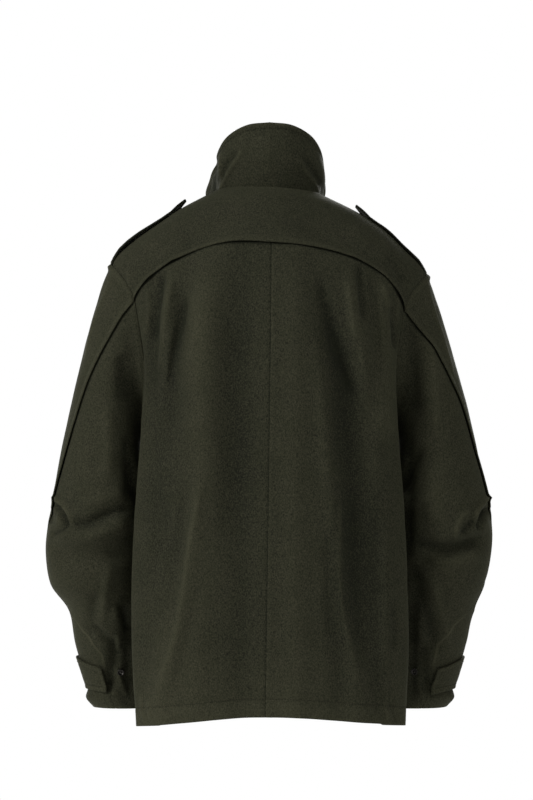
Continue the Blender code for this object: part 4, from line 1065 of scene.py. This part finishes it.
def rows_along(grid, normals, *distances):
    """Lines for a row of stitches down each long edge of a strap."""
    return [line_at(grid.swapaxes(0, 1), normals.swapaxes(0, 1), d.T, EDGE_STITCHES) for d in distances]


def add_strap(name, node, grid, normals, lift, wear_and_painted_light=0.0, painted_side_shade=0.0, sewn_in=0.0):
    """A doubled strap on a grid of the form, lifted off it, with stitches just inside its long edges. Its
    face may be painted paler as painted light, it has a painted highlight just inside its edges, and painted
    shade on its side faces where asked and along its stitches. Its sewn end runs on into the seam."""
    over = grid + normals * (lift[..., None] + DOUBLED_CLOTH)
    facing = normals_of(over, over - normals)
    first, last, low, high = edge_distances(over)
    nearest = np.minimum(np.minimum(low, high), last)
    wear_and_painted_light = (wear_and_painted_light + wear_or_painted_light(nearest - 0.003, 0.002, 0.3) + wear_or_painted_light(nearest, 0.0012, painted_side_shade)
           + wear_or_painted_light(nearest - EDGE_STITCHES, 0.0015, -0.2))
    over = over + facing * sewn_groove(nearest, EDGE_STITCHES)[..., None]
    sewing = add_stitches(name + "_stitches", rows_along(over, facing, low, high))
    over = moved_edges(over, {0: sewn_in})
    add_panel(name, node, over, facing, wear_and_painted_light, DOUBLED_CLOTH)


for side, word in SIDES:
    table = np.array(EPAULETTE)
    at = np.linspace(0, len(table) - 1, 49)
    across = np.linspace(-1, 1, 27)
    x, half_width, front_lift, back_lift = [np.interp(at, range(len(table)), column) for column in table.T]
    x = mix(x, table[0, 0], EPAULETTE_SHORTER[side])
    chart = np.array([[shoulder_chart(x[k], a * half_width[k]) for a in across] for k in range(len(x))])
    grid = on_body(chart, side)
    lift = mix(front_lift[:, None], back_lift[:, None], (across + 1) / 2)
    lift = lift - EPAULETTE_PRESSED[side] * smooth((x[:, None] - 0.17) / 0.02)
    # painted shade on the strap's side faces
    add_strap("shoulder_strap_" + word, "epaulette_" + word, grid, body_normals(grid), lift,
              painted_side_shade=-0.9, sewn_in=0.003)

# ================================================================ the cuff straps
# A doubled strap round the outside of each cuff, sewn into the sleeve's front seam. Its free end is cut on
# the slant and points to the back.
# One row for each line across the strap, from the seam to its free end:
#    upper_angle lower_angle upper lower lift
CUFF_TAB = [
    (-108, -108, 9.35, 10.95, 0.0006), (-92, -92, 9.35, 10.95, 0.0008), (-76, -76, 9.35, 10.95, 0.0010),
    (-60, -60, 9.35, 10.95, 0.0012), (-45, -45, 9.35, 10.95, 0.0014), (-30, -30, 9.35, 10.95, 0.0014),
    (-15, -15, 9.35, 10.95, 0.0014), (0, 0, 9.35, 10.95, 0.0014), (14, 15, 9.38, 10.98, 0.0014),
    (28, 31, 9.44, 11.05, 0.0015), (42, 46, 9.54, 11.16, 0.0017),
]
CUFF_TAB_END = {LEFT: [(56, 59, 9.64, 11.28, 0.0020), (68, 71, 9.74, 11.40, 0.0023)],
                RIGHT: [(56, 61, 9.66, 11.38, 0.0020), (70, 76, 9.77, 11.60, 0.0023)]}

for side, word in SIDES:
    table = np.array(CUFF_TAB + CUFF_TAB_END[side])
    at = np.linspace(0, len(table) - 1, 67)
    columns = [np.interp(at, np.arange(len(table)), table[:, k])[:, None] for k in range(5)]
    across = np.linspace(0, 1, 21)[None, :]
    angle = np.radians(mix(columns[0], columns[1], across))
    ring = mix(columns[2], columns[3], across)
    grid = sleeve_point(angle, angle, ring, side)
    lift = np.broadcast_to(columns[4], ring.shape)
    # the tab's face painted paler, as painted light
    add_strap("cuff_strap_" + word, "cuff_tab_" + word, grid, sleeve_normals(grid, side), lift,
              wear_and_painted_light=0.25)

# ================================================================ the front flap
# A plain strip of the same cloth, laid over the closing from neck to hem with the left side over the right,
# and stitched near each long edge.
FLAP_EDGES = (-0.026, 0.034)
FLAP_TOP = 7.9
FLAP_LIFT = 0.0008

levels = np.concatenate([mix(HEM, ARMPIT, shares(0.41))[:-1], mix(ARMPIT, FLAP_TOP, shares(0.28))])[:, None]
front_y = along_rows(RINGS, levels)[..., 6]
grid = body_point(math.pi - np.arctan2(mix(*FLAP_EDGES, shares(0.06))[None, :], front_y), levels)
normals = body_normals(grid)
flap_face = grid + normals * (FLAP_LIFT + CLOTH)
low, high, free, sewn = edge_distances(flap_face)
nearest = np.minimum(free, sewn)
flap_face = flap_face + normals * sewn_groove(nearest, EDGE_STITCHES)[..., None]
sewing = add_stitches("front_flap_stitches", rows_along(flap_face, normals, free, sewn))
add_panel("closing_flap", "front_flap", flap_face, normals, wear_or_painted_light(nearest))

# ================================================================ the press studs
# A spare stud on each cuff, a dished ring of blackened brass, and six smooth caps down the front flap.
RESTING_GAP = 0.0005
BLACKENED_BRASS, brass_wire, brass_shader = finish("blackened_brass", Metallic=1.0)
wear = brass_wire.node("ShaderNodeTexNoise", {}, {"Scale": 500.0, "Detail": 3.0})
wear.mixed(linear(30, 30, 29), linear(66, 64, 60)).feed(brass_shader, "Base Color")
(wear * 0.2 + 0.18).feed(brass_shader, "Roughness")

# Rows of radius and height, from the middle below, round the rim, to the middle above.
STUD_PROFILE = [
    (0.0, 0.0), (0.0042, 0.0), (0.0049, 0.0002), (0.0051, 0.0008), (0.0051, 0.0014), (0.0048, 0.0020),
    (0.0043, 0.0023), (0.0038, 0.0022), (0.0034, 0.0017), (0.0030, 0.0012), (0.0024, 0.0009),
    (0.0017, 0.0010), (0.0010, 0.0013), (0.0, 0.0014),
]
CAP_PROFILE = [
    (0.0, 0.0), (0.0062, 0.0), (0.0073, 0.0002), (0.0075, 0.0006), (0.0074, 0.0011), (0.0069, 0.0017),
    (0.0059, 0.0021), (0.0046, 0.0024), (0.0030, 0.0026), (0.0, 0.0027),
]
STUD_SEGMENTS = 40
CUFF_STUD_AT = {LEFT: (99, 9.95), RIGHT: (107, 9.95)}  # angle round the sleeve, ring
FLAP_STUD_LEVELS = [0.55, 1.45, 2.35, 3.5, 5.0, 6.7]


def add_stud(name, node, point, axis, profile):
    """A round solid about an axis through a point of the cloth."""
    across = np.cross(axis, (0.0, 0.0, 1.0))
    across /= np.linalg.norm(across)
    up = np.cross(axis, across)
    centre = point + axis * RESTING_GAP
    around = np.arange(STUD_SEGMENTS)
    after = (around + 1) % STUD_SEGMENTS
    swings = 2 * math.pi * around / STUD_SEGMENTS
    points = [centre + axis * profile[0][1]]
    for radius, height in profile[1:-1]:
        middle = centre + axis * height
        points += [middle + radius * (across * math.cos(w) + up * math.sin(w)) for w in swings]
    points.append(centre + axis * profile[-1][1])
    top = len(points) - 1 - STUD_SEGMENTS
    faces = [(0, 1 + b, 1 + a) for a, b in zip(around, after)]
    for low in range(1, top, STUD_SEGMENTS):
        high = low + STUD_SEGMENTS
        faces += [(low + a, low + b, high + b, high + a) for a, b in zip(around, after)]
    faces += [(len(points) - 1, top + a, top + b) for a, b in zip(around, after)]
    stand_in(add_mesh(name, points, np.array(faces, object).tolist(), BLACKENED_BRASS), node)


for side, word in SIDES:
    angle, ring = CUFF_STUD_AT[side]
    angles = np.radians(angle) + np.array([[-0.02, 0.02], [-0.02, 0.02]])
    rings = ring + np.array([[-0.05, -0.05], [0.05, 0.05]])
    patch = sleeve_point(angles, angles, rings, side)
    axis = sleeve_normals(patch, side)[0, 0]
    add_stud("spare_cuff_stud_" + word, "cuff_stud_" + word, patch.mean(axis=(0, 1)), axis, STUD_PROFILE)
for count, level in enumerate(FLAP_STUD_LEVELS, 1):
    at = np.argmin(np.abs(levels[:, 0] - level)), flap_face.shape[1] // 2
    add_stud(f"front_cap_{count}", f"flap_stud_{count}", flap_face[at], normals[at], CAP_PROFILE)

# ================================================================ the studio
# A plain pale floor under the part, a white surround, and large soft lights: the key light above the camera's
# left with its fills, and two that light the front when it is seen from there.
FLOOR_Z, FLOOR_RADIUS, FLOOR_SIDES = -1.50, 4.0, 96
CAMERA_AT, CAMERA_TOWARDS = Vector((0.0, 4.2, -0.444)), Vector((0.00435, 0.0, -0.303))
FRAME_HEIGHT = 1.16  # metres of the part that fill the frame's height

PALE_FLOOR = finish("pale_floor", Base_Color=(0.82, 0.82, 0.81, 1), Roughness=0.7)[0]
angles = 2 * math.pi * np.arange(FLOOR_SIDES) / FLOOR_SIDES
floor = add_mesh("floor", [(FLOOR_RADIUS * math.cos(a), FLOOR_RADIUS * math.sin(a), FLOOR_Z) for a in angles],
                 [range(FLOOR_SIDES)], PALE_FLOOR)
floor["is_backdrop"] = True


def add_aimed(name, data, place, towards):
    made = add_object(name, data)
    made.location, made.rotation_euler = place, (towards - place).to_track_quat("-Z", "Y").to_euler()
    return made


camera = bpy.data.cameras.new("camera")
camera.lens = camera.sensor_width * (CAMERA_TOWARDS - CAMERA_AT).length / FRAME_HEIGHT
bpy.context.scene.camera = add_aimed("camera", camera, CAMERA_AT, CAMERA_TOWARDS)

MIDDLE = Vector((0.0, 0.0, -0.35))


# name, place, size and watts of each soft light
SOFTBOXES = [
    ("key", (3.2, 1.9, 1.0), 1.3, 118), ("above", (-1.4, 2.0, 3.0), 1.6, 50),
    ("fill", (-2.9, 2.4, 0.4), 2.0, 22), ("behind", (0.8, 4.4, 0.4), 2.0, 6),
    ("front_key", (-0.8, -3.5, 1.0), 1.6, 150), ("front_fill", (1.2, -3.4, -0.2), 2.0, 45),
]
for name, place, size, watts in SOFTBOXES:
    light = bpy.data.lights.new(name, "AREA")
    light.shape, light.size, light.energy = "SQUARE", size, watts
    add_aimed(name, light, Vector(place), MIDDLE)

world = bpy.data.worlds.new("white_surround")
world.use_nodes = True
bpy.context.scene.world = world
surround = Wire(world.node_tree)
to_camera = surround.node("ShaderNodeLightPath")
strength = to_camera * 0.86 + 0.14
background = world.node_tree.nodes["Background"]
background.inputs["Color"].default_value = (1, 1, 1, 1)
strength.feed(background, "Strength")
bpy.context.scene.view_settings.view_transform = "Standard"

sizes = {"solids": solid_bounds, "dressed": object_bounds()}
sizes = {name: [list(corner) for corner in corners] for name, corners in sizes.items()}
